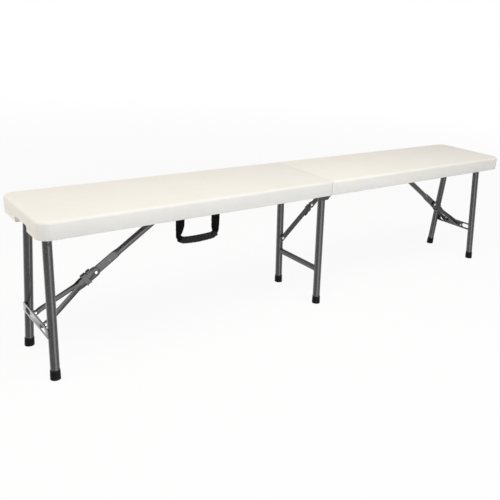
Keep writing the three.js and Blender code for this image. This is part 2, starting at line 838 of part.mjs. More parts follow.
function addEndLegSet(side) {
  const end = side > 0 ? 'right' : 'left';
  const toWorld = (geometry) => hung(geometry, end_pivot, leg_lean);
  const cross_reach = rail_web_y + sheet_thickness + rail_flange / 2;
  const saddle = rodY(cross_tube_radius + fit_gap, -half_width, half_width, 0, 0, rod_sides * 2);
  for (const sideY of [-1, 1]) {
    const place = sideY < 0 ? 'front' : 'rear';
    const { tube, foot, onSide } = legParts(sideY, leg_top_y, leg_foot_y, leg_drop, 0, 0);
    const mark = onSide(sideY > 0 ? legRivet() : mirroredY(legRivet()));
    addPiece(`${end}_leg_tube_${place}`, toWorld(joined(cut(tube, saddle), mark)), grey_coat, side);
    addPiece(`${end}_foot_${place}`, floorCut(toWorld(foot)), black_rubber, side);
    const head_face = fork_throat_half_gap + fork_bar_thickness + fit_gap;
    const head_shank = fork_bar_thickness;
    const head = rivet(rivet_head_radius, rivet_head_height, pin_radius, head_shank, head_face, 1);
    const far_face = head_face - fit_gap;
    const far_head = rivet(rivet_head_radius, rivet_head_height, pin_radius, 0, far_face, 1);
    const bar = along(forkBar(), brace.low, brace.elbow);
    if (sideY < 0) {
      head.translate(brace.elbow.x, 0, brace.elbow.y);
      addPiece(`${end}_elbow_rivet`, mirroredY(head), zinc, side);
      addPiece(`${end}_fork_bar_${place}`, mirroredY(bar), grey_coat, side);
    } else {
      const { x, y } = brace.elbow;
      const plug = rodY(rivet_head_radius - fit_gap, fork_throat_half_gap, far_face, x, y);
      far_head.translate(brace.elbow.x, 0, brace.elbow.y);
      addPiece(`${end}_fork_bar_${place}`, joined(bar, plug, far_head), grey_coat, side);
    }
    const ear_face = stretcher_ear_y + sheet_thickness + fit_gap;
    const pin_shank = sheet_thickness + fork_bar_thickness + fit_gap * 2;
    const pin = rivet(rivet_head_radius, rivet_head_height, pin_radius, pin_shank, ear_face, 1);
    pin.translate(brace.low.x, 0, brace.low.y);
    addPiece(`${end}_fork_pin_${place}`, sideY > 0 ? pin : mirroredY(pin), zinc, side);
  }
  const pivot_tube = tubeY(cross_tube_radius, -cross_reach, cross_reach);
  addPiece(`${end}_leg_pivot_tube`, toWorld(pivot_tube), grey_coat, side);
  addPiece(`${end}_stretcher_plate`, toWorld(stretcherPlate()), grey_coat, side);
  addPiece(`${end}_brace_arm`, along(braceArm(), brace.high, brace.elbow), grey_coat, side);
  const bar = tubeY(bar_tube_radius, -cross_reach, cross_reach, brace.high.x, brace.high.y, rod_sides);
  addPiece(`${end}_brace_bar`, bar, grey_coat, side);
  const cheek = fork_throat_half_gap + fork_bar_thickness;
  for (const sideY of [-1, 1]) {
    const place = sideY < 0 ? 'front' : 'rear';
    const half = fork_cheek_width / 2;
    const tab_end = end_clip_start - clip_ear_gap;
    const gap = fork_throat_half_gap;
    const made = lockSleeve(end_clip_start, end_clip_length, end_tab_start, tab_end, gap, cheek, half);
    const sleeve = along(made, brace.elbow, brace.low);
    addPiece(`${end}_lock_sleeve_${place}`, sideY > 0 ? sleeve : mirroredY(sleeve), grey_coat, side);
  }
}

// MIDDLE LEG SET

// Plate that carries the pivot bolt of a middle leg, in the leg set's own frame
function middleEar() {
  const back = -middle_leg_back - leg_tube_radius;
  const front = middle_ear_front;
  const low = -middle_ear_low;
  const corners = [
    [back, low],
    [front - middle_ear_chamfer, low],
    [front, low + middle_ear_chamfer],
    [front, 0],
  ];
  const shape = new THREE.Shape();
  corners.forEach(([x, z], k) => {
    const place = turned(new THREE.Vector2(x, z), -middle_lean);
    if (k === 0) shape.moveTo(place.x, place.y);
    else shape.lineTo(place.x, place.y);
  });
  shape.absarc(0, 0, front, -middle_lean, Math.PI / 2);
  shape.lineTo(-middle_ear_radius, front);
  shape.lineTo(back, -middle_leg_top_drop);
  const y0 = middle_leg_y + leg_tube_radius - middle_ear_bite;
  const ear = plateY(shape, y0, y0 + middle_ear_thickness);
  return cut(ear, rodY(middle_bolt_radius + fit_gap, 0, half_width));
}

// Round pin along Y made of steps, each with a near end, a far end and a radius
function steppedPin(steps) {
  const profile = [new THREE.Vector2(0, steps[0][0])];
  for (const [y0, y1, radius] of steps) {
    profile.push(new THREE.Vector2(radius, y0), new THREE.Vector2(radius, y1));
  }
  profile.push(new THREE.Vector2(0, steps[steps.length - 1][1]));
  return new THREE.LatheGeometry(profile, rivet_sides);
}

// Flat link with two round eyes, built along +X
function flatLink(length, y0, eye0, eye1) {
  const r = stay_width / 2;
  const shape = new THREE.Shape();
  const start = Math.asin(r / eye0);
  const end = Math.asin(r / eye1);
  shape.absarc(0, 0, eye0, start, Math.PI * 2 - start);
  shape.absarc(length, 0, eye1, end - Math.PI, Math.PI - end);
  const link = plateY(shape, y0, y0 + stay_thickness);
  const near_bore = rodY(pin_radius + fit_gap, 0, half_width);
  return cut(link, near_bore, rodY(pin_radius + fit_gap, 0, half_width, length, 0));
}

function addMiddleLegSet() {
  const toWorld = (geometry) => hung(geometry, middle_pivot, middle_lean);
  const ear_end = middle_leg_y + leg_tube_radius - middle_ear_bite + middle_ear_thickness;
  for (const sideY of [-1, 1]) {
    const place = sideY < 0 ? 'front' : 'rear';
    const y = middle_leg_y;
    const { tube, foot } = legParts(sideY, y, y, middle_drop, -middle_leg_back, middle_leg_top_drop);
    const ear = sideY > 0 ? middleEar() : mirroredY(middleEar());
    addPiece(`middle_leg_tube_${place}`, toWorld(joined(tube, ear)), grey_coat);
    addPiece(`middle_foot_${place}`, floorCut(toWorld(foot)), black_rubber);
    const head = ear_end - middle_ear_thickness - fit_gap;
    const nut = rail_web_y + sheet_thickness + fit_gap;
    const bolt = steppedPin([
      [head - middle_bolt_head_height, head, middle_bolt_head_radius],
      [head, nut, middle_bolt_radius],
      [nut, nut + middle_bolt_head_height, middle_bolt_head_radius],
    ]).translate(middle_pivot.x, 0, middle_pivot.y);
    addPiece(`middle_pivot_bolt_${place}`, sideY > 0 ? bolt : mirroredY(bolt), zinc);
  }
  const bar_z = middle_stretcher_z - leg_pivot_z;
  const bar = cut(
    tubeY(cross_tube_radius, -middle_leg_y, middle_leg_y, 0, bar_z),
    ...[-1, 1].map((sideY) => tubeCutter(sideY * middle_leg_y, middle_drop)),
  );
  addPiece('middle_stretcher', toWorld(bar.translate(-middle_leg_back, 0, 0)), grey_coat);

  const low_y = stay_y;
  const high_y = low_y - fit_gap * 2 - clip_sheet - stay_thickness;
  const lower = flatLink(stay.lower, low_y, stay_eye_radius, stay_eye_radius);
  addPiece('stay_lower_link', along(lower, stay.low, stay.elbow), grey_coat);
  const upper = flatLink(stay.upper, high_y, stay_eye_radius, stay_eye_radius);
  addPiece('stay_upper_link', along(upper, stay.high, stay.elbow), grey_coat);
  const low_end = low_y + stay_thickness;
  const tab_start = middle_clip_start + middle_clip_length + clip_ear_gap;
  const tab_end = tab_start + middle_tab_length;
  const half = stay_width / 2;
  const start = middle_clip_start;
  const sleeve = lockSleeve(start, middle_clip_length, tab_start, tab_end, low_y, low_end, half);
  addPiece('stay_lock_sleeve', along(sleeve, stay.elbow, stay.low), grey_coat);
  const elbow_face = high_y - fit_gap;
  const elbow = rivet(rivet_head_radius, rivet_head_height, pin_radius, stay_thickness, elbow_face, -1);
  addPiece('stay_elbow_rivet', elbow.translate(stay.elbow.x, 0, stay.elbow.y), zinc);
  const low_face = low_y - fit_gap;
  const low_back = low_end + fit_gap;
  const low_pin = steppedPin([
    [low_face - rivet_head_height, low_face, rivet_head_radius],
    [low_face, low_back, pin_radius],
    [low_back, middle_leg_y - leg_tube_radius - fit_gap, stay_spacer_radius],
  ]);
  addPiece('stay_lower_pin', low_pin.translate(stay.low.x, 0, stay.low.y), zinc);
  addPiece('stay_bracket', stayBracket(high_y), grey_coat);
}

// Bent bracket under the deck with the pin for the stay's upper link
function stayBracket(link_y) {
  const r = stay_bracket_half_length;
  const top = ceiling_z - fit_gap;
  const face = link_y - fit_gap;
  const side_view = new THREE.Shape();
  side_view.moveTo(stay.high.x - r, top);
  side_view.lineTo(stay.high.x - stay_eye_radius, stay.high.y);
  side_view.absarc(stay.high.x, stay.high.y, stay_eye_radius, Math.PI, Math.PI * 2);
  side_view.lineTo(stay.high.x + r, top);
  const web = plateY(side_view, face - sheet_thickness, face);
  const foot_start = face - stay_bracket_foot;
  const foot = block(stay.high.x - r, stay.high.x + r, foot_start, face, top - sheet_thickness, top);
  const link_end = link_y + stay_thickness + fit_gap;
  const pin = steppedPin([
    [face - sheet_thickness / 2, link_end, pin_radius],
    [link_end, link_end + rivet_head_height, rivet_head_radius],
  ]);
  return joined(web, foot, pin.translate(stay.high.x, 0, stay.high.y));
}

// SEAT HALVES, RAILS AND HINGES IN PLACE

function addSeatAndRails() {
  for (const side of [-1, 1]) {
    const end = side > 0 ? 'right' : 'left';
    const seat = side > 0 ? joined(seatHalf(), keeperPeg()) : joined(seatHalf(), latchPeg());
    addPiece(`seat_half_${end}`, seat, seat_plastic, side);
    for (const sideY of [-1, 1]) {
      const place = sideY < 0 ? 'front' : 'rear';
      const middle_bore = railBore(middle_bolt_radius, middle_pivot.x, middle_pivot.y);
      const rail = sideRail(side > 0 ? [middle_bore] : []);
      addPiece(`${end}_rail_${place}`, sideY > 0 ? rail : mirroredY(rail), grey_coat, side);
      const leaf = hingeLeaf(side < 0).translate(0, sideY * hinge_y, 0);
      addPiece(`${end}_hinge_leaf_${place}`, leaf, zinc, side);
    }
  }
  for (const sideY of [-1, 1]) {
    const place = sideY < 0 ? 'front' : 'rear';
    const half = hinge_width / 2;
    const head = hinge_pin_head;
    const pin = steppedPin([
      [-half - fit_gap - head, -half - fit_gap, hinge_barrel_radius - head],
      [-half - fit_gap, half + fit_gap, hinge_pin_radius],
      [half + fit_gap, half + fit_gap + head, hinge_barrel_radius - head],
    ]);
    addPiece(`hinge_pin_${place}`, pin.translate(0, sideY * hinge_y, hinge_z), zinc);
  }
}

// LATCH AND KEEPER

const latch_z = underside_z + latch_lift;
const latch_reach = latch_lift + hinge_drop * 2 + keeper_lift;

// Moulded pivot peg of the latch with its flattened head
function latchPeg() {
  const u = latchFaceU();
  const face = u + fit_gap * 2 + latch_thickness;
  const peg = steppedPin([
    [u - fit_gap, face, latch_peg_radius],
    [face, face + latch_head_height, latch_head_radius],
  ]);
  return peg.rotateZ(-Math.PI / 2).translate(0, latch_y, latch_z);
}

// Moulded peg that the latch hooks when the bench is shut
function keeperPeg() {
  const u = latchFaceU();
  const z = underside_z + keeper_lift;
  return rodX(keeper_radius, u - fit_gap, u + keeper_length, latch_y, z);
}

// Flat hook in the Y-Z plane, pointing to -Y from its screw
function latchLever() {
  const r = latch_width / 2;
  const shape = roundedRect(-latch_reach - latch_tip, r, -r, r, r * full_round_share);
  const u0 = latchFaceU() + fit_gap;
  const u1 = u0 + latch_thickness;
  const near = u0 - cut_overrun;
  const far = u1 + cut_overrun;
  const slot_half = latch_slot_width / 2;
  const slot = joined(
    rodX(slot_half, near, far, -latch_reach, 0),
    block(near, far, -latch_reach - slot_half, -latch_reach + slot_half, -latch_width, 0),
  );
  const bore = rodX(latch_peg_radius + fit_gap, near, far);
  return cut(plateX(shape, u0, u1), slot, bore).translate(0, latch_y, latch_z);
}

function addLatch() {
  addPiece('latch_lever', latchLever(), black_plastic, -1);
}

// CARRY HANDLE

const handle_pivot_z = underside_z - handle_pivot_drop;
const grip_z = underside_z - handle_drop;

// Line of the webbing in the X-Z plane, from one bar down, through the grip and up to the other
function handleLine() {
  const half = handle_span / 2;
  const top = handle_pivot_z - handle_eye_radius + webbing_thickness / 2;
  const path = new THREE.CurvePath();
  const corner = (x) => new THREE.Vector2(x, grip_z + handle_sag);
  const left = handle_x - half;
  const right = handle_x + half;
  const down = new THREE.Vector2(left, grip_z + handle_sag + handle_corner);
  const up = new THREE.Vector2(right, grip_z + handle_sag + handle_corner);
  const inLeft = new THREE.Vector2(left + handle_corner, grip_z + handle_bow);
  const inRight = new THREE.Vector2(right - handle_corner, grip_z + handle_bow);
  path.add(new THREE.LineCurve(new THREE.Vector2(left, top), down));
  path.add(new THREE.QuadraticBezierCurve(down, corner(left), inLeft));
  path.add(new THREE.QuadraticBezierCurve(inLeft, new THREE.Vector2(handle_x, grip_z - handle_bow), inRight));
  path.add(new THREE.QuadraticBezierCurve(inRight, corner(right), up));
  path.add(new THREE.LineCurve(up, new THREE.Vector2(right, top)));
  return path;
}

// Rounded flat section across the line at one place
function webbingRing(place, heading, width, thickness) {
  const across = new THREE.Vector2(-heading.y, heading.x);
  const a = width / 2;
  const b = thickness / 2;
  const edge = b * webbing_edge_share;
  const outline = [
    [-a, -edge], [-a, edge], [-a + edge, b], [a - edge, b],
    [a, edge], [a, -edge], [a - edge, -b], [-a + edge, -b],
  ];
  return outline.map(([w, t]) => (
    new THREE.Vector3(place.x + across.x * w, handle_y + t, place.y + across.y * w)
  ));
}

function handleWebbing() {
  const line = handleLine();
  const length = line.getLength();
  const strap = handle_pivot_z - grip_z - handle_sag - handle_corner;
  const rings = [];
  for (let k = 0; k <= handle_steps; k += 1) {
    const share = k / handle_steps;
    const place = line.getPointAt(share);
    const heading = line.getTangentAt(share);
    const run = Math.min(share, 1 - share) * length;
    const neck = THREE.MathUtils.smoothstep(run, webbing_flat_length, strap + handle_corner);
    const width = webbing_width + (webbing_neck_width - webbing_width) * neck;
    const thickness = webbing_thickness + (webbing_core_thickness - webbing_thickness) * neck;
    rings.push(webbingRing(place, heading, width, thickness));
  }
  const strap_body = loft(rings);
  const half = handle_span / 2;
  const eyes = [-half, half].map((dx) => {
    const x = handle_x + dx;
    const w = webbing_width / 2;
    return rodX(handle_eye_radius, x - w, x + w, handle_y, handle_pivot_z, rod_sides * 2);
  });
  const bore = rodX(
    handle_bar_radius + fit_gap,
    handle_x - handle_span,
    handle_x + handle_span,
    handle_y,
    handle_pivot_z,
    rod_sides * 2,
  );
  return cut(joined(strap_body, ...eyes), bore);
}

// Moulded sleeve over the middle of the webbing, with shallow ribs
function gripSleeve() {
  const line = handleLine();
  const length = line.getLength();
  const strap = handle_pivot_z - grip_z - handle_sag;
  const s0 = strap / length;
  const rings = [];
  const count = grip_ribs * grip_rib_steps;
  const radii = [];
  for (let k = 0; k <= count; k += 1) {
    const share = k / count;
    const wave = Math.cos(share * grip_ribs * Math.PI * 2);
    radii.push([s0 + (1 - 2 * s0) * share, grip_radius + grip_rib_height * (wave - 1) / 2]);
  }
  const ringAt = (share, radius) => {
    const place = line.getPointAt(share);
    const heading = line.getTangentAt(share);
    const ring = [];
    for (let k = 0; k < loft_sides; k += 1) {
      const angle = (k / loft_sides) * Math.PI * 2;
      const w = Math.sin(angle) * radius;
      ring.push(new THREE.Vector3(
        place.x - heading.y * w,
        handle_y + Math.cos(angle) * radius,
        place.y + heading.x * w,
      ));
    }
    return ring;
  };
  for (const [share, radius] of radii) rings.push(ringAt(share, radius));
  const outer = loft(rings);
  const inner = [];
  const extra = grip_end_inset / length;
  for (let k = 0; k <= grip_ribs * 2; k += 1) {
    const share = k / (grip_ribs * 2);
    inner.push(ringAt(s0 - extra + (1 - 2 * (s0 - extra)) * share, grip_bore_radius));
  }
  return cut(outer, loft(inner));
}

// Bar bracket that holds one end of the webbing under the front rail
function handleBracket(x) {
  const w = webbing_width / 2 + fit_gap;
  const t = anchor_tab_thickness;
  const top = underside_z + rail_lift - fit_gap;
  const y0 = handle_y - handle_bar_radius;
  const y1 = y0 + anchor_tab_width;
  const parts = [rodX(handle_bar_radius, x - w - t, x + w + t, handle_y, handle_pivot_z)];
  for (const sideX of [-1, 1]) {
    const inner = x + sideX * w;
    const outer = inner + sideX * t;
    const end = inner + sideX * anchor_tab_length;
    const [e0, e1] = [Math.min(inner, outer), Math.max(inner, outer)];
    const [t0, t1] = [Math.min(inner, end), Math.max(inner, end)];
    parts.push(block(e0, e1, y0, y1, handle_pivot_z - handle_bar_radius, top));
    parts.push(block(t0, t1, y0, y1, top - t, top));
  }
  return joined(...parts);
}

function addHandle() {
  addPiece('handle_webbing', handleWebbing(), black_webbing);
  addPiece('handle_grip', gripSleeve(), black_plastic);
  addPiece('handle_bracket_outer', handleBracket(handle_x - handle_span / 2), zinc);
  addPiece('handle_bracket_inner', handleBracket(handle_x + handle_span / 2), zinc);
}

addSeatAndRails();
addEndLegSet(-1);
addEndLegSet(1);
addMiddleLegSet();
addLatch();
addHandle();

export default group;
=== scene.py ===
"""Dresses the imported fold-in-half bench: finishes, detailed pieces, studio, floor and camera."""

import json
import logging
import math
from collections.abc import Callable, Iterable, Sequence
from dataclasses import dataclass
from enum import Enum
from itertools import accumulate

import bmesh
import bpy
from mathutils import Matrix, Vector


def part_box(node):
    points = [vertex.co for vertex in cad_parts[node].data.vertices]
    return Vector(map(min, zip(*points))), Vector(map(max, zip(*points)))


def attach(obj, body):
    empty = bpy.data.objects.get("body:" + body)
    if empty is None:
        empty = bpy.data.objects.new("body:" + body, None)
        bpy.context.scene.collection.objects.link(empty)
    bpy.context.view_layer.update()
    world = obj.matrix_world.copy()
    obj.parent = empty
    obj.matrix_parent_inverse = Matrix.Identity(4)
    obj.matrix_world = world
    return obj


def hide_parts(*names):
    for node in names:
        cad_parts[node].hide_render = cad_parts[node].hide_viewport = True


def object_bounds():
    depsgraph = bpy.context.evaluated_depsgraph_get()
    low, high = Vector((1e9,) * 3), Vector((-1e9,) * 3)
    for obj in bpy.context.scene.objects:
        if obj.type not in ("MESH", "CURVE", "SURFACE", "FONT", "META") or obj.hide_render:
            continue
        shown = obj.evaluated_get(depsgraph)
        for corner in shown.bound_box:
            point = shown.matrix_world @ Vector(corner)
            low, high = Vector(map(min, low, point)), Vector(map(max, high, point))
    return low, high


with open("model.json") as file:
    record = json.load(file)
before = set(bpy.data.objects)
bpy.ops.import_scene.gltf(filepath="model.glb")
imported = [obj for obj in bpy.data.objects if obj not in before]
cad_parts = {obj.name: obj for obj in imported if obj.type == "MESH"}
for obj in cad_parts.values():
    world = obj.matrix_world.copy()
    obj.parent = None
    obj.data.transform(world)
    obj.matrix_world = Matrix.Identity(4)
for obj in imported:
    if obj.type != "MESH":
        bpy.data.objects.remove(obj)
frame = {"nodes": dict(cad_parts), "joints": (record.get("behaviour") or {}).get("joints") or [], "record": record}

CAD_BOX = [list(corner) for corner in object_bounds()]

logging.basicConfig(level=logging.INFO, format="%(message)s")
LOG = logging.getLogger("bench")

Mesh = bmesh.types.BMesh
Edge = bmesh.types.BMEdge
Vert = bmesh.types.BMVert
Socket = bpy.types.NodeSocket
Pair = tuple[float, float]
Profile = Sequence[Pair]
Spot = tuple[float, float, float]
Colour = tuple[float, float, float, float]


def anchor(joint: str) -> Vector:
    """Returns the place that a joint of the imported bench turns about, or slides from."""
    return Vector(next(row["pos_m"] for row in frame["joints"] if row["name"] == joint))


X, Y, Z = range(3)
MM = 0.001
HALF_LENGTH = CAD_BOX[1][X]
SEAT_TOP = CAD_BOX[1][Z]
SEAT_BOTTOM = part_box("seat_half_right")[0][Z]
LEG_PIVOT = anchor("right_leg_fold")
FORK_PIVOT = anchor("right_fork_swing")
BRACE_BAR = anchor("right_arm_swing")
BRACE_ELBOW = anchor("right_sleeve_slide")
MIDDLE_PIVOT = anchor("middle_leg_fold")
HANDLE_BARS = anchor("handle_swing")
LATCH = anchor("latch_turn")
LEG_LEAN = math.atan2(FORK_PIVOT.x - LEG_PIVOT.x, LEG_PIVOT.z - FORK_PIVOT.z)
LEG_TOP_Y = 0.069
LEG_FOOT_Y = 0.1025
FOOT_SOLE = 0.005
TUBE_RADIUS = 0.012
CROSS_RADIUS = 0.0095
BAR_RADIUS = 0.007
TUBE_WALL = 0.0012
RIM_SHARE = 0.35

SEGMENTS = 40
SEAM_UV = "strip"
MERGE = 1e-6
HAIR = 1e-5
LONG_EDGE = 0.01
SHARP = math.radians(48)
NEARLY_FLAT = math.radians(0.5)
CUT = "DIFFERENCE"
JOIN = "UNION"
BEAD_END = 0.35
BEAD_RIPPLE = 0.14
BEAD_PITCH = 2.1
SCREW_UNDER = 0.0004
SCREW_SPREAD = (400, 900)


class Way(Enum):
    """One of two sides of the bench, valued by its sign along its axis."""

    @property
    def word(self) -> str:
        """The word that node and body names use for it."""
        return self.name.lower()


class Side(Way):
    """End of the bench, along X."""

    LEFT = -1
    RIGHT = 1


class Place(Way):
    """Long side of the bench, along Y."""

    FRONT = -1
    REAR = 1


class Pattern(Enum):
    """Kind of surface relief that a finish carries."""

    PEBBLE = "pebble"
    ORANGE_PEEL = "orange_peel"
    BRUSHED = "brushed"
    WEAVE = "weave"
    CREASED = "creased"


# Shader nodes


class NodeBoard:
    """Adds shader nodes to one tree."""

    def __init__(self, tree: bpy.types.NodeTree) -> None:
        """Keeps the tree that the nodes go into."""
        self.tree = tree

    def add(self, kind: str, inputs: dict[str | int, object], **options: str) -> bpy.types.Node:
        """Adds one node.

        Args:
            kind: Node type, without the word that all of them start with.
            inputs: Value or source of each input, by name or number.
            options: Settings of the node itself.

        Returns:
            The node.
        """
        node = self.tree.nodes.new(f"ShaderNode{kind}")
        for name, choice in options.items():
            setattr(node, name, choice)
        for key, value in inputs.items():
            if isinstance(value, Socket):
                self.feed(node.inputs[key], value)
            else:
                node.inputs[key].default_value = value
        return node

    def feed(self, target: Socket, source: Socket) -> None:
        """Links an input to what feeds it."""
        self.tree.links.new(source, target)

    def surface(self, source: Socket) -> None:
        """Makes a shader's output the look of the surface."""
        self.feed(self.tree.nodes["Material Output"].inputs["Surface"], source)

    def coordinates(self) -> Socket:
        """Object coordinates."""
        return self.add("TexCoord", {}).outputs["Object"]

    def uv(self) -> Socket:
        """The piece's own UV map, laid out in metres."""
        return self.add("UVMap", {}, uv_map=SEAM_UV).outputs["UV"]

    def stretched(self, coords: Socket, scale: Spot) -> Socket:
        """Coordinates scaled along each axis."""
        return self.add("Mapping", {"Vector": coords, "Scale": scale}).outputs["Vector"]

    def noise(self, coords: Socket, scale: float, detail: float, rough: float) -> Socket:
        """Noise of so many cells per metre, with `detail` octaves that weigh `rough`."""
        inputs = {"Vector": coords, "Scale": scale, "Detail": detail, "Roughness": rough}
        return self.add("TexNoise", inputs).outputs["Fac"]

    def cells(self, coords: Socket, scale: float) -> Socket:
        """Smooth cells, for a pebbled grain."""
        inputs = {"Vector": coords, "Scale": scale}
        return self.add("TexVoronoi", inputs, feature="SMOOTH_F1").outputs["Distance"]

    def bands(self, coords: Socket, scale: float, way: str) -> Socket:
        """Nearly even bands across one direction."""
        inputs = {"Vector": coords, "Scale": scale, "Distortion": 0.4}
        return self.add("TexWave", inputs, bands_direction=way).outputs["Fac"]

    def combine(self, operation: str, first: Socket, second: Socket) -> Socket:
        """Two values put together by one operation."""
        return self.add("Math", {0: first, 1: second}, operation=operation).outputs[0]

    def map_value(self, value: Socket, low: float, high: float) -> Socket:
        """A value of 0..1 as low..high."""
        return self.add("MapRange", {"Value": value, "To Min": low, "To Max": high}).outputs["Result"]

    def spread(self, value: Socket, low: float, high: float) -> Socket:
        """A value of low..high as 0..1."""
        return self.add("MapRange", {"Value": value, "From Min": low, "From Max": high}).outputs["Result"]

    def mix_value(self, first: Socket, second: Socket, share: float) -> Socket:
        """Two values mixed by a fixed share of the second."""
        inputs = {"Factor": share, "A": first, "B": second}
        return self.add("Mix", inputs, data_type="FLOAT").outputs["Result"]

    def mix_colour(
        self, share: Socket | float, first: Socket | Colour, second: Socket | Colour, blend: str = "MIX"
    ) -> Socket:
        """Two colours blended by a share of the second."""
        return self.add("Mix", {0: share, 6: first, 7: second}, data_type="RGBA", blend_type=blend).outputs[2]

    def rubbed(self, coords: Socket) -> Socket:
        """Thin broken mask along outer edges, where paint rubs off."""
        sharp = self.spread(self.add("NewGeometry", {}).outputs["Pointiness"], 0.56, 0.66)
        return self.combine("MULTIPLY", sharp, self.spread(self.noise(coords, 160.0, 4.0, 0.7), 0.5, 0.68))

    def bump(self, height: Socket, depth: float) -> Socket:
        """A height as a normal, with its depth in metres."""
        return self.add("Bump", {"Height": height, "Distance": depth, "Strength": 0.8}).outputs["Normal"]

    def seen(self) -> Socket:
        """1 for what is seen straight, in gloss or through a clear piece."""
        rays = self.add("LightPath", {}).outputs
        near = self.combine("MAXIMUM", rays["Is Camera Ray"], rays["Is Glossy Ray"])
        return self.combine("MAXIMUM", near, rays["Is Transmission Ray"])


def fresh_material(name: str) -> tuple[bpy.types.Material, NodeBoard, bpy.types.Node]:
    """Starts a node material.

    Args:
        name: Its name.

    Returns:
        The material, its node board and its shader.
    """
    made = bpy.data.materials.new(name)
    made.use_nodes = True
    return made, NodeBoard(made.node_tree), made.node_tree.nodes["Principled BSDF"]


# Finishes


def linear(red: int, green: int, blue: int) -> Colour:
    """Turns a display colour, 0 to 255 each, into the linear values that shaders take."""
    shares = [value / 255 for value in (red, green, blue)]
    return (*(s / 12.92 if s <= 0.04045 else ((s + 0.055) / 1.055) ** 2.4 for s in shares), 1.0)


@dataclass(frozen=True)
class Finish:
    """A surface finish: colours, gloss and the size of its relief.

    Attributes:
        name: Name of the material.
        slot: Material slot of the record that it stands for.
        colour: Main colour, linear.
        shade: Second colour that the mottling drifts to, linear.
        roughness: Middle roughness.
        roughness_spread: How far roughness wanders to each side.
        metallic: 1 for bare metal.
        pattern: Kind of relief.
        grain: Cells of relief per metre.
        relief: Height of the relief in metres.
        specular: Strength of the surface's own reflection, 0.5 for a plain one.
        sheen: Cloth sheen weight.
        edge: Colour of rubbed edges, or None where none are rubbed.
    """

    name: str
    slot: str
    colour: Colour
    shade: Colour
    roughness: float
    roughness_spread: float
    metallic: float
    pattern: Pattern
    grain: float
    relief: float
    specular: float = 0.5
    sheen: float = 0.0
    edge: Colour | None = None

    def material(self) -> bpy.types.Material:
        """Builds the material, or returns it if it is there.

        Returns:
            The node material of this finish.
        """
        found = bpy.data.materials.get(self.name)
        if found:
            return found
        made, board, shader = fresh_material(self.name)
        shader.inputs["Metallic"].default_value = self.metallic
        shader.inputs["Specular IOR Level"].default_value = self.specular
        shader.inputs["Sheen Weight"].default_value = self.sheen
        shader.inputs["Sheen Roughness"].default_value = 0.4
        place = board.coordinates()
        fine = board.noise(place, 140.0, 3.0, 0.6)
        blend = board.mix_value(board.noise(place, 9.0, 4.0, 0.6), fine, 0.4)
        tint = board.mix_colour(board.spread(blend, 0.35, 0.65), self.colour, self.shade)
        if self.edge:
            tint = board.mix_colour(board.rubbed(place), tint, self.edge)
        relief = self._relief(board, place)
        # A woven finish darkens its colour where its relief is low: painted shade in the hollows between the
        # threads.
        if self.pattern is Pattern.WEAVE:
            tint = board.mix_colour(1.0, tint, board.map_value(relief, 0.45, 1.0), "MULTIPLY")
        board.feed(shader.inputs["Base Color"], tint)
        smoothest, roughest = self.roughness - self.roughness_spread, self.roughness + self.roughness_spread
        board.feed(shader.inputs["Roughness"], board.map_value(fine, smoothest, roughest))
        board.feed(shader.inputs["Normal"], board.bump(relief, self.relief))
        return made

    def _relief(self, board: NodeBoard, place: Socket) -> Socket:
        """Makes the height pattern of this finish.

        Args:
            board: The node board being filled.
            place: Object coordinates.

        Returns:
            The height.
        """
        grain = self.grain
        if self.pattern is Pattern.PEBBLE:
            return board.mix_value(board.cells(place, grain), board.noise(place, grain * 0.6, 2.0, 0.5), 0.5)
        if self.pattern is Pattern.ORANGE_PEEL:
            return board.noise(place, grain, 2.0, 0.55)
        if self.pattern is Pattern.BRUSHED:
            return board.noise(board.stretched(place, (0.05, 1.0, 1.0)), grain, 3.0, 0.6)
        strip = board.uv()
        warp = board.bands(strip, grain, "X")
        if self.pattern is Pattern.CREASED:
            return board.mix_value(warp, board.noise(place, 900.0, 3.0, 0.6), 0.25)
        return board.combine("MULTIPLY", warp, board.bands(strip, grain * 1.6, "Y"))


SEAT = Finish(
    "moulded_seat_plastic", "seat_plastic", linear(244, 241, 235), linear(240, 237, 230),
    0.55, 0.05, 0.0, Pattern.PEBBLE, 700.0, 0.00012, specular=0.3,
)
COAT = Finish(
    "grey_powder_coat", "grey_coat", linear(62, 60, 61), linear(55, 53, 54),
    0.19, 0.03, 0.15, Pattern.ORANGE_PEEL, 900.0, 0.00003, specular=0.55, edge=linear(132, 133, 133),
)
ZINC = Finish(
    "bright_zinc", "zinc", linear(214, 214, 212), linear(190, 190, 186),
    0.28, 0.07, 0.85, Pattern.BRUSHED, 600.0, 0.00002,
)
RUBBER = Finish(
    "moulded_black_rubber", "black_rubber", linear(15, 15, 16), linear(21, 21, 22),
    0.6, 0.08, 0.0, Pattern.ORANGE_PEEL, 500.0, 0.00006, specular=0.1,
)
SATIN = Finish(
    "satin_black_plastic", "black_plastic", linear(22, 22, 24), linear(29, 29, 31),
    0.42, 0.06, 0.0, Pattern.ORANGE_PEEL, 800.0, 0.00004, specular=0.3,
)
STRAP = Finish(
    "woven_black_webbing", "black_webbing", linear(11, 11, 13), linear(8, 8, 9),
    0.8, 0.05, 0.0, Pattern.WEAVE, 210.0, 0.0004, specular=0.05, sheen=0.02,
)
GRIP = Finish(
    "creased_black_grip", "black_plastic", linear(18, 18, 20), linear(14, 14, 15),
    0.34, 0.08, 0.0, Pattern.CREASED, 52.0, 0.0006, specular=0.1,
)
THREAD = Finish(
    "black_thread", "black_webbing", linear(32, 32, 34), linear(24, 24, 26),
    0.7, 0.05, 0.0, Pattern.ORANGE_PEEL, 1500.0, 0.00004, specular=0.2,
)
SLOT_FINISH = {finish.slot: finish for finish in (SEAT, COAT, ZINC, RUBBER, SATIN, STRAP)}


# Lines and shares


def clamped(share: float) -> float:
    """Keeps a share within 0..1."""
    return min(max(share, 0.0), 1.0)


def eased(share: float) -> float:
    """Eases a share in and out."""
    return share * share * (3 - 2 * share)


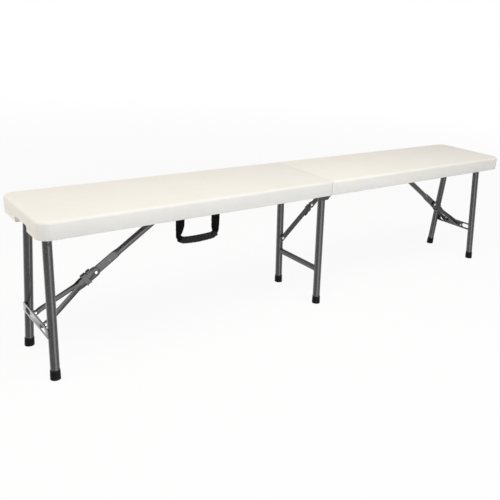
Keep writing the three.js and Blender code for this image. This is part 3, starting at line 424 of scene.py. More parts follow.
def chord(line: Sequence[Vector], k: int) -> Vector:
    """Returns the way from the point before point k of a line to the one after it."""
    return line[min(k + 1, len(line) - 1)] - line[max(k - 1, 0)]


def distances(line: Sequence[Vector]) -> list[float]:
    """Measures the distance along a line at each of its points."""
    return list(accumulate(((after - before).length for before, after in zip(line, line[1:])), initial=0.0))


def facing(ahead: Vector) -> Matrix:
    """Returns the turn that takes +Z to a direction."""
    return Vector((0, 0, 1)).rotation_difference(ahead).to_matrix().to_4x4()


# Making and joining meshes


def grow(bm: Mesh, ring: list[Vert], places: Sequence[Vector]) -> list[Vert]:
    """Extrudes a closed ring once and puts the new ring's vertices in their places.

    Args:
        bm: Mesh being made.
        ring: The last ring, in order.
        places: Where each new vertex goes.

    Returns:
        The new ring, in the same order.
    """
    edges = [bm.edges.get((one, two)) for one, two in zip(ring, ring[1:] + ring[:1])]
    made = bmesh.ops.extrude_edge_only(bm, edges=edges)["geom"]
    fresh = {vert for vert in made if isinstance(vert, Vert)}
    following = []
    for vert, place in zip(ring, places):
        mate = next(edge.other_vert(vert) for edge in vert.link_edges if edge.other_vert(vert) in fresh)
        mate.co = place
        following.append(mate)
    return following


def rings_to_mesh(
    rings: Sequence[Sequence[Vector]], runs: Sequence[float] | None = None, girth: float = 0.0
) -> Mesh:
    """Skins a row of rings into one closed body by extruding the first ring from place to place.

    Args:
        rings: Rings of equally many points.
        runs: Distance along the piece at each ring, for its UV map.
        girth: Length once round a ring, for its UV map.

    Returns:
        The mesh of the body.
    """
    bm = bmesh.new()
    count = len(rings[0])
    ring = bmesh.ops.create_circle(bm, cap_ends=False, radius=1.0, segments=count)["verts"]
    for vert, place in zip(ring, rings[0]):
        vert.co = place
    rows = [ring]
    for places in rings[1:]:
        rows.append(grow(bm, rows[-1], places))
    for row in (rows[0], rows[-1]):
        bmesh.ops.contextual_create(bm, geom=row)
    if runs:
        layer = bm.loops.layers.uv.new(SEAM_UV)
        address = {vert: (j, i) for i, row in enumerate(rows) for j, vert in enumerate(row)}
        for face in bm.faces:
            around = [address[loop.vert][0] for loop in face.loops]
            wraps = len(face.verts) == 4 and max(around) - min(around) > count / 2
            for loop in face.loops:
                j, i = address[loop.vert]
                turn = count if wraps and j == 0 else j
                loop[layer].uv = (girth * turn / count, runs[i])
    bmesh.ops.recalc_face_normals(bm, faces=bm.faces)
    return bm


def lathe(profile: Profile, sides: int, matrix: Matrix) -> Mesh:
    """Turns a profile of (radius, height) points round Z and closes both poles.

    Args:
        profile: Points from one pole to the other.
        sides: Steps round the axis.
        matrix: Placement of the finished body.

    Returns:
        The mesh of the body.
    """
    bm = bmesh.new()
    verts = [bm.verts.new((radius, 0.0, height)) for radius, height in profile]
    edges = [bm.edges.new(pair) for pair in zip(verts, verts[1:])]
    bmesh.ops.spin(
        bm, geom=verts + edges, cent=(0, 0, 0), axis=(0, 0, 1), dvec=(0, 0, 0),
        angle=math.tau, steps=sides, use_merge=True, use_duplicate=False,
    )
    bmesh.ops.remove_doubles(bm, verts=bm.verts, dist=MERGE)
    bmesh.ops.recalc_face_normals(bm, faces=bm.faces)
    bmesh.ops.transform(bm, matrix=matrix, verts=bm.verts)
    return bm


def pipe(radius: float, wall: float, start: Vector, end: Vector, sides: int = SEGMENTS) -> Mesh:
    """Makes a straight open tube with rounded rims.

    Args:
        radius: Outer radius.
        wall: Wall thickness, or 0 for a solid bar.
        start: Centre of one end.
        end: Centre of the other end.
        sides: Steps round the tube.

    Returns:
        The mesh of the tube.
    """
    length = (end - start).length
    rim, inner = min(radius, wall or radius) * RIM_SHARE, radius - wall
    profile = [(radius - rim, 0), (radius, rim), (radius, length - rim), (radius - rim, length)]
    if wall:
        profile = [(inner, rim), (inner + rim, 0), *profile]
        profile += [(inner + rim, length), (inner, length - rim), (inner, rim)]
    else:
        profile = [(0, 0), *profile, (0, length)]
    return lathe(profile, sides, Matrix.Translation(start) @ facing(end - start))


def rod(radius: float, middle: Vector, reach: Vector, sides: int) -> Mesh:
    """Makes a solid round bar from its middle and the way from there to one end."""
    return pipe(radius, 0, middle - reach, middle + reach, sides)


def block(low: Sequence[float], high: Sequence[float]) -> Mesh:
    """Makes a plain block between two corners, to be bevelled or carved with.

    Args:
        low: Lowest corner.
        high: Highest corner.

    Returns:
        The mesh of the block.
    """
    bm = bmesh.new()
    bmesh.ops.create_cube(bm, size=1.0)
    low, high = Vector(low), Vector(high)
    bmesh.ops.scale(bm, vec=high - low, verts=bm.verts)
    bmesh.ops.translate(bm, vec=(low + high) / 2, verts=bm.verts)
    return bm


def above(edge: Edge, axis: int, level: float) -> bool:
    """Says whether a whole edge lies above a level along an axis."""
    return all(vert.co[axis] > level for vert in edge.verts)


def below(edge: Edge, axis: int, level: float) -> bool:
    """Says whether a whole edge lies below a level along an axis."""
    return all(vert.co[axis] < level for vert in edge.verts)


def spans(edge: Edge, axis: int) -> bool:
    """Says whether an edge runs a good way along an axis."""
    return abs(edge.verts[0].co[axis] - edge.verts[1].co[axis]) > LONG_EDGE


def is_sharp(edge: Edge) -> bool:
    """Says whether two faces meet at an edge at a sharp angle."""
    return len(edge.link_faces) == 2 and edge.calc_face_angle(0.0) > SHARP


def soften(bm: Mesh, pick: Callable[[Edge], bool], size: float, steps: int) -> None:
    """Rounds the edges that `pick` accepts by a radius, in so many facets."""
    bmesh.ops.bevel(
        bm, geom=[edge for edge in bm.edges if pick(edge)], offset=size, offset_type="OFFSET",
        segments=steps, profile=0.5, affect="EDGES", clamp_overlap=True, material=-1,
    )


def merged(bm: Mesh) -> Mesh:
    """Merges doubles and flat neighbours, and returns the same mesh."""
    bmesh.ops.remove_doubles(bm, verts=bm.verts, dist=MERGE)
    bmesh.ops.dissolve_limit(bm, angle_limit=NEARLY_FLAT, verts=bm.verts, edges=bm.edges)
    return bm


def mirror(bm: Mesh, axis: int) -> None:
    """Mirrors a mesh across an axis and turns its faces out again."""
    bmesh.ops.scale(bm, vec=[-1 if axis == k else 1 for k in (X, Y, Z)], verts=bm.verts)
    bmesh.ops.reverse_faces(bm, faces=bm.faces)


def gathered(parts: Iterable[Mesh]) -> Mesh:
    """Puts several meshes into one and frees them.

    Args:
        parts: Meshes to gather.

    Returns:
        One mesh holding all of them.
    """
    whole = bmesh.new()
    for part in parts:
        carrier = bpy.data.meshes.new("carrier")
        part.to_mesh(carrier)
        part.free()
        whole.from_mesh(carrier)
        bpy.data.meshes.remove(carrier)
    return whole


def as_object(bm: Mesh, name: str) -> bpy.types.Object:
    """Puts a mesh in the scene and uses it up.

    Args:
        bm: The mesh.
        name: Name of the object.

    Returns:
        The object.
    """
    mesh = bpy.data.meshes.new(name)
    bm.to_mesh(mesh)
    bm.free()
    thing = bpy.data.objects.new(name, mesh)
    bpy.context.scene.collection.objects.link(thing)
    return thing


def carved(stock: Mesh, steps: Sequence[tuple[str, Mesh]]) -> Mesh:
    """Cuts and joins solids with the exact solver.

    Args:
        stock: The solid that is worked on.
        steps: Pairs of operation (CUT or JOIN) and tool, in order.

    Returns:
        The finished solid.
    """
    body = as_object(stock, "stock")
    tools = [as_object(tool, "tool") for _, tool in steps]
    for (operation, _), tool in zip(steps, tools):
        step = body.modifiers.new("step", "BOOLEAN")
        step.operation = operation
        step.solver = "EXACT"
        step.object = tool
    solid = body.evaluated_get(bpy.context.evaluated_depsgraph_get())
    result = bmesh.new()
    result.from_mesh(solid.to_mesh())
    solid.to_mesh_clear()
    for thing in [body, *tools]:
        mesh = thing.data
        bpy.data.objects.remove(thing)
        bpy.data.meshes.remove(mesh)
    return merged(result)


# Pieces

modelled: set[str] = set()


@dataclass
class Piece:
    """A finished piece: a mesh with its finish, on the body that carries it.

    Attributes:
        name: Object name.
        bm: The mesh, used up when the piece is placed.
        finish: Its finish.
        body: CAD body that it rides on.
        stands_for: CAD nodes that it replaces.
        crease: Angle in degrees above which an edge stays sharp.
    """

    name: str
    bm: Mesh
    finish: Finish
    body: str
    stands_for: tuple[str, ...] = ()
    crease: float = 35.0

    def place(self) -> None:
        """Shades the piece, makes its object and hands it to its body."""
        limit = math.radians(self.crease)
        for face in self.bm.faces:
            face.smooth = True
        for edge in self.bm.edges:
            edge.smooth = len(edge.link_faces) == 2 and edge.calc_face_angle(0.0) < limit
        thing = as_object(self.bm, self.name)
        thing.data.materials.append(self.finish.material())
        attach(thing, self.body)
        if self.stands_for:
            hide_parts(*self.stands_for)
            modelled.update(self.stands_for)
        LOG.info("piece %s on %s, %d faces", self.name, self.body, len(thing.data.polygons))


def dress(manner: str, node: str, bm: Mesh, finish: Finish) -> None:
    """Places a piece that stands for one CAD node, on the body of that node.

    Args:
        manner: Word that its name starts with.
        node: The CAD node.
        bm: The mesh.
        finish: Its finish.
    """
    bodies = frame["record"]["behaviour"]["bodies"]
    body = next(name for name, members in bodies.items() if node in members)
    Piece(f"{manner}_{node}", bm, finish, body, (node,)).place()


@dataclass
class Hardware:
    """Every metal or plastic part whose CAD solid has the right shape, with its edges broken."""

    small: tuple[str, ...] = ("pin", "rivet", "bolt", "bracket")
    small_edge: float = 0.00025
    edge: float = 0.0004

    def place(self) -> None:
        """Finishes a merged copy of each CAD node that no modelled piece stands for."""
        slots = {part["node"]: part["material_slot"] for part in frame["record"]["subparts"]}
        for node, solid in frame["nodes"].items():
            if node not in modelled:
                bm = bmesh.new()
                bm.from_mesh(solid.data)
                size = self.small_edge if any(word in node for word in self.small) else self.edge
                soften(merged(bm), is_sharp, size, 2)
                dress("finished", node, bm, SLOT_FINISH[slots[node]])


def weld_bead(points: Sequence[Vector], radius: float = 0.0016) -> Mesh:
    """Sweeps a small round section along a line of points, with ripples.

    Args:
        points: The line.
        radius: Half width of the bead.

    Returns:
        The mesh of the bead.
    """
    rings = []
    for k, place in enumerate(points):
        ahead = chord(points, k)
        across = ahead.orthogonal().normalized()
        other = ahead.normalized().cross(across)
        swell = BEAD_END if k in (0, len(points) - 1) else 1.0 + BEAD_RIPPLE * math.sin(k * BEAD_PITCH)
        size = radius * swell
        turns = [math.tau * j / 8 for j in range(8)]
        rings.append([place + across * math.cos(t) * size + other * math.sin(t) * size for t in turns])
    return rings_to_mesh(rings)


def saddle_bead(crossing: Matrix, side: int, turns: Sequence[float]) -> Mesh:
    """Makes the bead where a cross tube meets one side of a leg tube.

    Args:
        crossing: Placement of the crossing, with the cross tube along its Y.
        side: Side of the leg tube that the bead lies on, along Y.
        turns: Angles round the cross tube.

    Returns:
        The mesh of the bead.
    """
    spots = [(CROSS_RADIUS * math.sin(turn), CROSS_RADIUS * math.cos(turn)) for turn in turns]
    line = [Vector((x, side * math.sqrt(TUBE_RADIUS ** 2 - x * x), z)) for x, z in spots]
    return weld_bead([crossing @ point for point in line])


# Seat


@dataclass
class SeatHalf:
    """One blow-moulded half of the seat, with its recess, notch, bulkhead and bosses.

    Attributes:
        notch: Near and far side, height and corner of the finger notch.
        tack: Radius, tip radius, depth and margin of the moulded cones.
        tack_grid: Columns and rows of cones.
        hinge_boss: Middle and half width across the bench, and reach from the seam.
        latch_boss: Depth, half width and height over the lower edge.
        latch_gap: From the end wall to the boss's outer face.
    """

    side: Side
    seam: float = 0.001
    half_width: float = 0.144
    corner: float = 0.032
    top_round: float = 0.008
    bottom_round: float = 0.003
    seam_round: float = 0.003
    wall: float = 0.013
    deck: float = 0.014
    recess_corner: float = 0.012
    notch: tuple[float, float, float, float] = (-0.060, 0.027, 0.017, 0.006)
    notch_past: float = 0.004
    past: float = 0.01
    tack: tuple[float, float, float, float] = (0.011, 0.007, 0.005, 0.062)
    tack_round: float = 0.001
    tack_grid: tuple[int, int] = (8, 3)
    bulkhead: float = 0.076
    hinge_boss: Spot = (0.055, 0.021, 0.046)
    latch_boss: Spot = (0.010, 0.011, 0.002)
    latch_gap: float = 0.0082
    keeper_lift: float = 0.007
    boss_lift: float = 0.0032
    boss_bite: float = 0.0005
    boss_round: float = 0.0015
    peg: float = 0.0025
    peg_sink: float = 0.001

    def _stock(self) -> Mesh:
        """Makes the outer form with all its rounded edges."""
        bm = block((self.seam, -self.half_width, SEAT_BOTTOM), (HALF_LENGTH, self.half_width, SEAT_TOP))
        end, top, low = HALF_LENGTH - HAIR, SEAT_TOP - HAIR, SEAT_BOTTOM + HAIR
        seam = self.seam + HAIR
        lip = SEAT_BOTTOM + self.bottom_round
        soften(bm, lambda edge: above(edge, X, end) and spans(edge, Z), self.corner, 16)
        soften(bm, lambda edge: above(edge, Z, top) and not below(edge, X, seam), self.top_round, 6)
        soften(bm, lambda edge: below(edge, Z, low) and not below(edge, X, seam), self.bottom_round, 3)
        soften(bm, lambda edge: below(edge, X, seam) and not below(edge, Z, lip), self.seam_round, 3)
        return bm

    def _recess(self) -> Mesh:
        """Makes the cutter for the hollow under the deck."""
        side = self.half_width - self.wall
        end = HALF_LENGTH - self.wall
        bm = block((-2 * self.past, -side, SEAT_BOTTOM - self.past), (end, side, SEAT_TOP - self.deck))
        soften(bm, lambda edge: above(edge, X, end - HAIR) and spans(edge, Z), self.recess_corner, 8)
        return bm

    def _hand_notch(self) -> Mesh:
        """Makes the cutter for the finger notch in the end wall."""
        near, far, height, corner = self.notch
        top = SEAT_BOTTOM + height
        bm = block(
            (HALF_LENGTH - self.wall - self.notch_past, near, SEAT_BOTTOM - self.past),
            (HALF_LENGTH + self.notch_past, far, top))
        soften(bm, lambda edge: above(edge, Z, top - HAIR) and spans(edge, X), corner, 6)
        return bm

    def _tacks(self) -> Mesh:
        """Makes the cutters for the moulded cones under the deck."""
        radius, tip, depth, margin = self.tack
        end = HALF_LENGTH - self.wall - margin
        side = self.half_width - self.wall - margin
        start = self.seam + margin
        columns, rows = self.tack_grid
        mouth = radius + (radius - tip)
        profile = [(0, -depth), (mouth, -depth), (radius, 0)]
        profile += [(tip + self.tack_round, depth - self.tack_round), (tip, depth), (0, depth)]
        cones = []
        for i in range(columns):
            for j in range(rows):
                x = start + (end - start) * i / (columns - 1)
                y = -side + 2 * side * j / (rows - 1)
                cones.append(lathe(profile, 28, Matrix.Translation((x, y, SEAT_TOP - self.deck))))
        return gathered(cones)

    def _bosses(self) -> list[Mesh]:
        """Makes the bulkhead, the hinge bosses and the latch boss with its peg."""
        top = SEAT_TOP - self.deck + self.boss_bite
        foot = SEAT_BOTTOM + self.boss_lift
        face = HALF_LENGTH - self.wall - self.latch_gap
        parts = [block((self.seam, -self.bulkhead, foot), (self.seam + self.wall, self.bulkhead, top))]
        hinge_y, half, reach = self.hinge_boss
        for y in (-hinge_y, hinge_y):
            parts.append(block((self.seam, y - half, foot + HAIR), (reach, y + half, top)))
        depth, half, lift = self.latch_boss
        parts.append(block((face - depth, LATCH.y - half, SEAT_BOTTOM + lift), (face, LATCH.y + half, top)))
        for part in parts:
            soften(part, lambda edge: spans(edge, Z), self.boss_round, 2)
        if self.side is Side.LEFT:
            level = LATCH.z
            tip = [(self.peg, 0.0066), (0.0045, 0.0066), (0.0041, 0.0081), (0.0032, 0.0086), (0, 0.0086)]
        else:
            level = SEAT_BOTTOM + self.keeper_lift
            tip = [(self.peg, 0.0063), (0.0021, 0.0070), (0, 0.0070)]
        place = Matrix.Translation((face - self.peg_sink, LATCH.y, level))
        turned = place @ Matrix.Rotation(math.pi / 2, 4, "Y")
        return [*parts, lathe([(0, 0), (self.peg, 0), *tip], 24, turned)]

    def place(self) -> None:
        """Carves the half and puts it on its body."""
        steps = [(CUT, tool) for tool in (self._recess(), self._hand_notch(), self._tacks())]
        bm = carved(self._stock(), steps + [(JOIN, boss) for boss in self._bosses()])
        if self.side is Side.LEFT:
            mirror(bm, X)
        word = self.side.word
        Piece(f"moulded_seat_{word}", bm, SEAT, f"{word}_half", (f"seat_half_{word}",), crease=32.0).place()


# Leg sets


@dataclass
class RubberFoot:
    """A moulded foot that ends flat on the floor, with ribs round its side."""

    base: float = 0.0135
    mouth: float = 0.0129
    height: float = 0.026
    depth: float = 0.007
    chamfer: float = 0.0015
    ribs: int = 4
    rib_start: float = 0.0012
    groove: float = 0.00055
    play: float = 0.0002
    inside: float = 0.0003
    lip: Pair = (0.0004, 0.0012)

    def build(self, matrix: Matrix) -> Mesh:
        """Turns the foot and cuts its sole level with the floor.

        Args:
            matrix: Placement; the tube ends at its origin and rises along its +Z.

        Returns:
            The mesh of the foot.
        """
        base, mouth, rise = self.base, self.mouth, self.height - FOOT_SOLE
        bore = TUBE_RADIUS + self.play
        profile = [(0.0, -self.depth), (base - self.chamfer, -self.depth), (base, self.chamfer - self.depth)]
        profile.append((base, -0.0010))
        pitch = (rise - 0.006) / self.ribs
        for rib in range(self.ribs):
            z = self.rib_start + rib * pitch
            out = base - (base - mouth) * (z + 0.002) / (rise + 0.002)
            steps = ((self.groove, 0), (self.groove, 0.3), (0, 0.5), (0, 0.9))
            profile += [(out - sunk, z + pitch * share) for sunk, share in steps]
        across, down = self.lip
        profile += [(mouth, rise - down), (mouth - across, rise), (bore, rise)]
        profile += [(bore, -self.inside), (0.0, -self.inside)]
        bm = lathe(profile, SEGMENTS, matrix)
        whole = bm.verts[:] + bm.edges[:] + bm.faces[:]
        cut = bmesh.ops.bisect_plane(
            bm, geom=whole, plane_co=(0, 0, 0), plane_no=(0, 0, -1), clear_outer=True)
        rim = [edge for edge in cut["geom_cut"] if isinstance(edge, Edge)]
        bmesh.ops.contextual_create(bm, geom=rim)
        bmesh.ops.recalc_face_normals(bm, faces=bm.faces)
        return bm


def stand_leg(legs: str, place: Place, matrix: Matrix, length: float, drop: float, fitting: Mesh) -> None:
    """Places one leg tube with the fitting that is fast on it, and its foot.

    Args:
        legs: Word that the node names of its leg set start with.
        place: Long side of the bench.
        matrix: Placement; the leg hangs along its -Z from the height of the pivot.
        length: From that height down to the floor.
        drop: From that height down to the top of the tube.
        fitting: Rivet head or pivot ear.
    """
    foot = matrix @ Matrix.Translation((0, 0, FOOT_SOLE - length))
    tube = pipe(TUBE_RADIUS, TUBE_WALL, foot.translation, matrix @ Vector((0, 0, -drop)))
    dress("coated", f"{legs}_leg_tube_{place.word}", gathered([tube, fitting]), COAT)
    dress("moulded", f"{legs}_foot_{place.word}", RubberFoot().build(foot), RUBBER)


@dataclass
class EndLegSet:
    """Leg set at one end: two splayed tubes, pivot tube, feet, weld beads and small parts.

    Attributes:
        plate_z: Height of the stretcher plate's middle.
        cross_reach: Half length of the pivot tube and of the brace bar.
        tube_drop: From the pivot's axis down to the tops of the tubes.
        rivet: Profile of the rivet head near the top of a tube.
        rivet_drop: From the pivot's axis down to the rivet.
        bead_lift: From the plate's middle to the middle of each bead beside it.
        bead_step: Length of one ripple of those beads.
    """

    side: Side
    plate_z: float = 0.125
    cross_reach: float = 0.125
    tube_drop: float = 0.002
    rivet: Profile = (
        (0, -0.0012), (0.0032, -0.0012), (0.0032, 0), (0.0027, 0.0011), (0.0016, 0.0018), (0, 0.0018),
    )
    rivet_drop: float = 0.047
    bead_lift: float = 0.009
    bead_step: float = 0.0011
    bead_radius: float = 0.0013

    def _frame(self) -> Matrix:
        """Placement of the leaning leg set about its pivot."""
        lean = Matrix.Rotation(-self.side.value * LEG_LEAN, 4, "Y")
        return Matrix.Translation((self.side.value * LEG_PIVOT.x, 0, LEG_PIVOT.z)) @ lean

    def _leg(self, place: Place) -> tuple[Matrix, float]:
        """Works out where one leg stands.

        Args:
            place: Long side of the bench.

        Returns:
            Its placement, with +Z up the tube, and its length.
        """
        drop = LEG_PIVOT.z / math.cos(LEG_LEAN)
        splay = math.atan2(LEG_FOOT_Y - LEG_TOP_Y, drop)
        turn = Matrix.Rotation(place.value * splay, 4, "X")
        top = self._frame() @ Matrix.Translation((0, place.value * LEG_TOP_Y, 0))
        return top @ turn, drop / math.cos(splay)

    def _beads(self, place: Place, matrix: Matrix) -> list[Mesh]:
        """Makes the beads of one leg: where it meets the pivot tube and where it meets the plate.

        Args:
            place: Long side of the bench.
            matrix: Placement of the leg.

        Returns:
            The meshes of the beads.
        """
        crossing = self._frame() @ Matrix.Translation((0, place.value * LEG_TOP_Y, 0))
        under = [math.pi * (0.5 + k / 24) for k in range(25)]
        beads = [saddle_bead(crossing, sign, under) for sign in (-1, 1)]
        middle = (self.plate_z - LEG_PIVOT.z) / math.cos(LEG_LEAN)
        out = self.side.value * (TUBE_RADIUS + 0.0002)
        for lift in (-self.bead_lift, self.bead_lift):
            levels = [middle + lift + self.bead_step * (k - 3) for k in range(7)]
            points = [matrix @ Vector((out, place.value * -0.001, level)) for level in levels]
            beads.append(weld_bead(points, self.bead_radius))
        return beads

    def place(self) -> None:
        """Builds the leg set and puts every piece on its body."""
        word = self.side.word
        beads = []
        for place in Place:
            matrix, length = self._leg(place)
            side = Matrix.Translation((0, place.value * TUBE_RADIUS, -self.rivet_drop))
            rivet = lathe(self.rivet, 24, matrix @ side @ Matrix.Rotation(-place.value * math.pi / 2, 4, "X"))
            stand_leg(word, place, matrix, length, self.tube_drop, rivet)
            beads += self._beads(place, matrix)
        Piece(f"{word}_leg_weld_beads", gathered(beads), COAT, f"{word}_leg_set", crease=80.0).place()
        reach = Vector((0, self.cross_reach, 0))
        bar = Vector((self.side.value * BRACE_BAR.x, 0, BRACE_BAR.z))
        crosses = (
            ("leg_pivot_tube", CROSS_RADIUS, self._frame().translation),
            ("brace_bar", BAR_RADIUS, bar),
        )
        for name, radius, middle in crosses:
            dress("coated", f"{word}_{name}", pipe(radius, TUBE_WALL, middle - reach, middle + reach), COAT)


@dataclass
class BraceArm:
    """Tube of a locking brace, flattened into a rounded blade that enters the fork.

    Attributes:
        squareness: How square the blade's section is, 0 for round.
        tip_share: How far the blade's end goes towards a point.
        bore_reach: Half length of the cutters across the arm.
        hole: From the elbow back to the small hole, and its drop.
    """

    side: Side
    blade_half: float = 0.0125
    blade_thick: float = 0.0052
    blade_length: float = 0.064
    taper: float = 0.024
    squareness: float = 0.55
    tip_share: float = 0.985
    hub_reach: float = 0.013
    bore_reach: float = 0.05
    bar_bore: float = 0.0073
    pin_bore: float = 0.0038
    hole_radius: float = 0.0023
    hole: Pair = (0.050, 0.003)

    def _ring(
        self, run: float, half: float, thin: float, power: float = 0.0, count: int = 40
    ) -> list[Vector]:
        """Makes a rounded ring across the arm.

        Args:
            run: Distance from the brace bar.
            half: Half width.
            thin: Half thickness.
            power: Squareness of the ring.
            count: Points round it.

        Returns:
            Points of the ring.
        """
        ring = []
        for turn in (math.tau * (k + 0.5) / count for k in range(count)):
            c, s = math.cos(turn), math.sin(turn)
            z, y = (math.copysign(abs(part) ** (1 - power), part) for part in (c, s))
            ring.append(Vector((run, thin * y, half * z)))
        return ring

    def _skin(self, length: float) -> Mesh:
        """Lofts the outside from the round tube to the blade's rounded end."""
        r, thin = CROSS_RADIUS, self.blade_thick / 2
        start = length - self.blade_length - self.taper
        rings = [self._ring(0, r, r)]
        for share in (k / 12 for k in range(13)):
            ease = eased(share)
            half = r + (self.blade_half - r) * ease
            rings.append(
                self._ring(start + self.taper * share, half, r + (thin - r) * ease, self.squareness * ease))
        for k in range(9):
            share = math.sin(math.pi / 2 * k / 8) * self.tip_share
            half = self.blade_half * math.sqrt(1 - share * share)
            end = thin * (1.0 if k < 7 else 0.9)
            rings.append(self._ring(length + self.blade_half * share, half, end, self.squareness))
        return rings_to_mesh(rings)

    def place(self) -> None:
        """Bores the arm and puts it on its body."""
        ahead = BRACE_ELBOW - BRACE_BAR
        length = ahead.length
        inner = CROSS_RADIUS - TUBE_WALL
        start = length - self.blade_length - self.taper
        back, drop = self.hole
        hollow = rings_to_mesh([self._ring(run, inner, inner, count=32) for run in (-0.001, start)])
        bores = (
            (self.bar_bore, (0, 0, 0), 32),
            (self.pin_bore, (length, 0, 0), 24),
            (self.hole_radius, (length - back, 0, -drop), 20),
        )
        across = Vector((0, self.bore_reach, 0))
        hub = rod(CROSS_RADIUS, Vector(), Vector((0, self.hub_reach, 0)), 32)
        steps = [(JOIN, hub), (CUT, hollow)]
        steps += [(CUT, rod(radius, Vector(middle), across, sides)) for radius, middle, sides in bores]
        bm = carved(self._skin(length), steps)
        pitch = math.atan2(ahead.z, ahead.x)
        matrix = Matrix.Translation(BRACE_BAR) @ Matrix.Rotation(-pitch, 4, "Y")
        bmesh.ops.transform(bm, matrix=matrix, verts=bm.verts)
        if self.side is Side.LEFT:
            mirror(bm, X)
        dress("pressed", f"{self.side.word}_brace_arm", bm, COAT)


@dataclass
class MiddleLegSet:
    """Middle leg set: two upright tubes with pivot ears, their stretcher, feet and beads.

    Attributes:
        leg_y: From the middle of the bench to each tube.
        back: From the pivot back to the tubes.
        foot_x: Where the tubes meet the floor.
        top_drop: From the pivot's axis down to the tops of the tubes.
        bar_z: Height of the stretcher.
        sunk: How far stretcher and ears reach into the tubes.
        ear_round: Radius of an ear about its bolt.
        ear_drop: From the bolt down to the ear's lower edge.
        ear_shoulder: From the bolt back to where the ear's slope starts.
    """

    leg_y: float = 0.103
    back: float = 0.0173
    foot_x: float = 0.0143
    top_drop: float = 0.021
    bar_z: float = 0.123
    sunk: float = 0.001
    ear_round: float = 0.014
    ear_drop: float = 0.0365
    ear_shoulder: float = 0.010
    ear_thick: float = 0.003
    ear_edge: float = 0.0004
    bolt_bore: float = 0.0043
    bore_reach: float = 0.01

    def _ear(self, place: Place) -> Mesh:
        """Makes the plate that carries the pivot bolt beside the tube.

        Args:
            place: Long side of the bench.

        Returns:
            The mesh of the plate.
        """
        inner = self.leg_y + TUBE_RADIUS - self.sunk
        r, edge = self.ear_round, -self.back - TUBE_RADIUS
        outline = [(edge, -self.ear_drop), (0.0, -self.ear_drop), (r, r - self.ear_drop)]
        outline += [(r * math.cos(t), r * math.sin(t)) for t in (math.pi / 2 * k / 10 for k in range(11))]
        outline += [(-self.ear_shoulder, r), (edge, -self.top_drop)]
        bm = bmesh.new()
        verts = [bm.verts.new((MIDDLE_PIVOT.x + x, inner, MIDDLE_PIVOT.z + z)) for x, z in outline]
        made = bmesh.ops.contextual_create(bm, geom=verts)["faces"]
        pulled = bmesh.ops.extrude_face_region(bm, geom=made)["geom"]
        moved = [vert for vert in pulled if isinstance(vert, Vert)]
        bmesh.ops.translate(bm, vec=(0, self.ear_thick, 0), verts=moved)
        bmesh.ops.recalc_face_normals(bm, faces=bm.faces)
        soften(bm, is_sharp, self.ear_edge, 2)
        middle = MIDDLE_PIVOT + Vector((0, inner, 0))
        bm = carved(bm, [(CUT, rod(self.bolt_bore, middle, Vector((0, self.bore_reach, 0)), 28))])
        if place is Place.FRONT:
            mirror(bm, Y)
        return bm

    def place(self) -> None:
        """Builds the middle leg set and puts every piece on its body."""
        lean = math.atan2(self.foot_x - MIDDLE_PIVOT.x + self.back, MIDDLE_PIVOT.z)
        length = MIDDLE_PIVOT.z / math.cos(lean) - self.back * math.tan(lean)
        world = Matrix.Translation(MIDDLE_PIVOT) @ Matrix.Rotation(-lean, 4, "Y")
        level = self.bar_z - MIDDLE_PIVOT.z
        turns = [math.tau * k / 36 for k in range(37)]
        beads = []
        for place in Place:
            matrix = world @ Matrix.Translation((-self.back, place.value * self.leg_y, 0))
            stand_leg("middle", place, matrix, length, self.top_drop, self._ear(place))
            beads.append(saddle_bead(matrix @ Matrix.Translation((0, 0, level)), -place.value, turns))
        Piece("middle_leg_weld_beads", gathered(beads), COAT, "middle_leg_set", crease=80.0).place()
        middle = world @ Vector((-self.back, 0, level))
        reach = Vector((0, self.leg_y - TUBE_RADIUS + self.sunk, 0))
        bar = pipe(CROSS_RADIUS, TUBE_WALL, middle - reach, middle + reach)
        dress("coated", "middle_stretcher", bar, COAT)


# Carry handle


@dataclass
class Station:
    """One place along the strap.

    Attributes:
        place: Centre of the strap.
        across: Direction of its width.
        through: Direction of its thickness, towards the inside of a curl.
        run: Distance along the strap.
        curl: Half angle of the curl in radians, nearly 0 for flat.
    """

    place: Vector
    across: Vector
    through: Vector
    run: float = 0.0
    curl: float = 0.0


def curve(start: Vector, bend: Vector, end: Vector, steps: int) -> list[Vector]:
    """Draws a quadratic curve of so many points, without its last."""
    shares = [k / steps for k in range(steps)]
    return [start * (1 - t) ** 2 + bend * 2 * t * (1 - t) + end * t * t for t in shares]


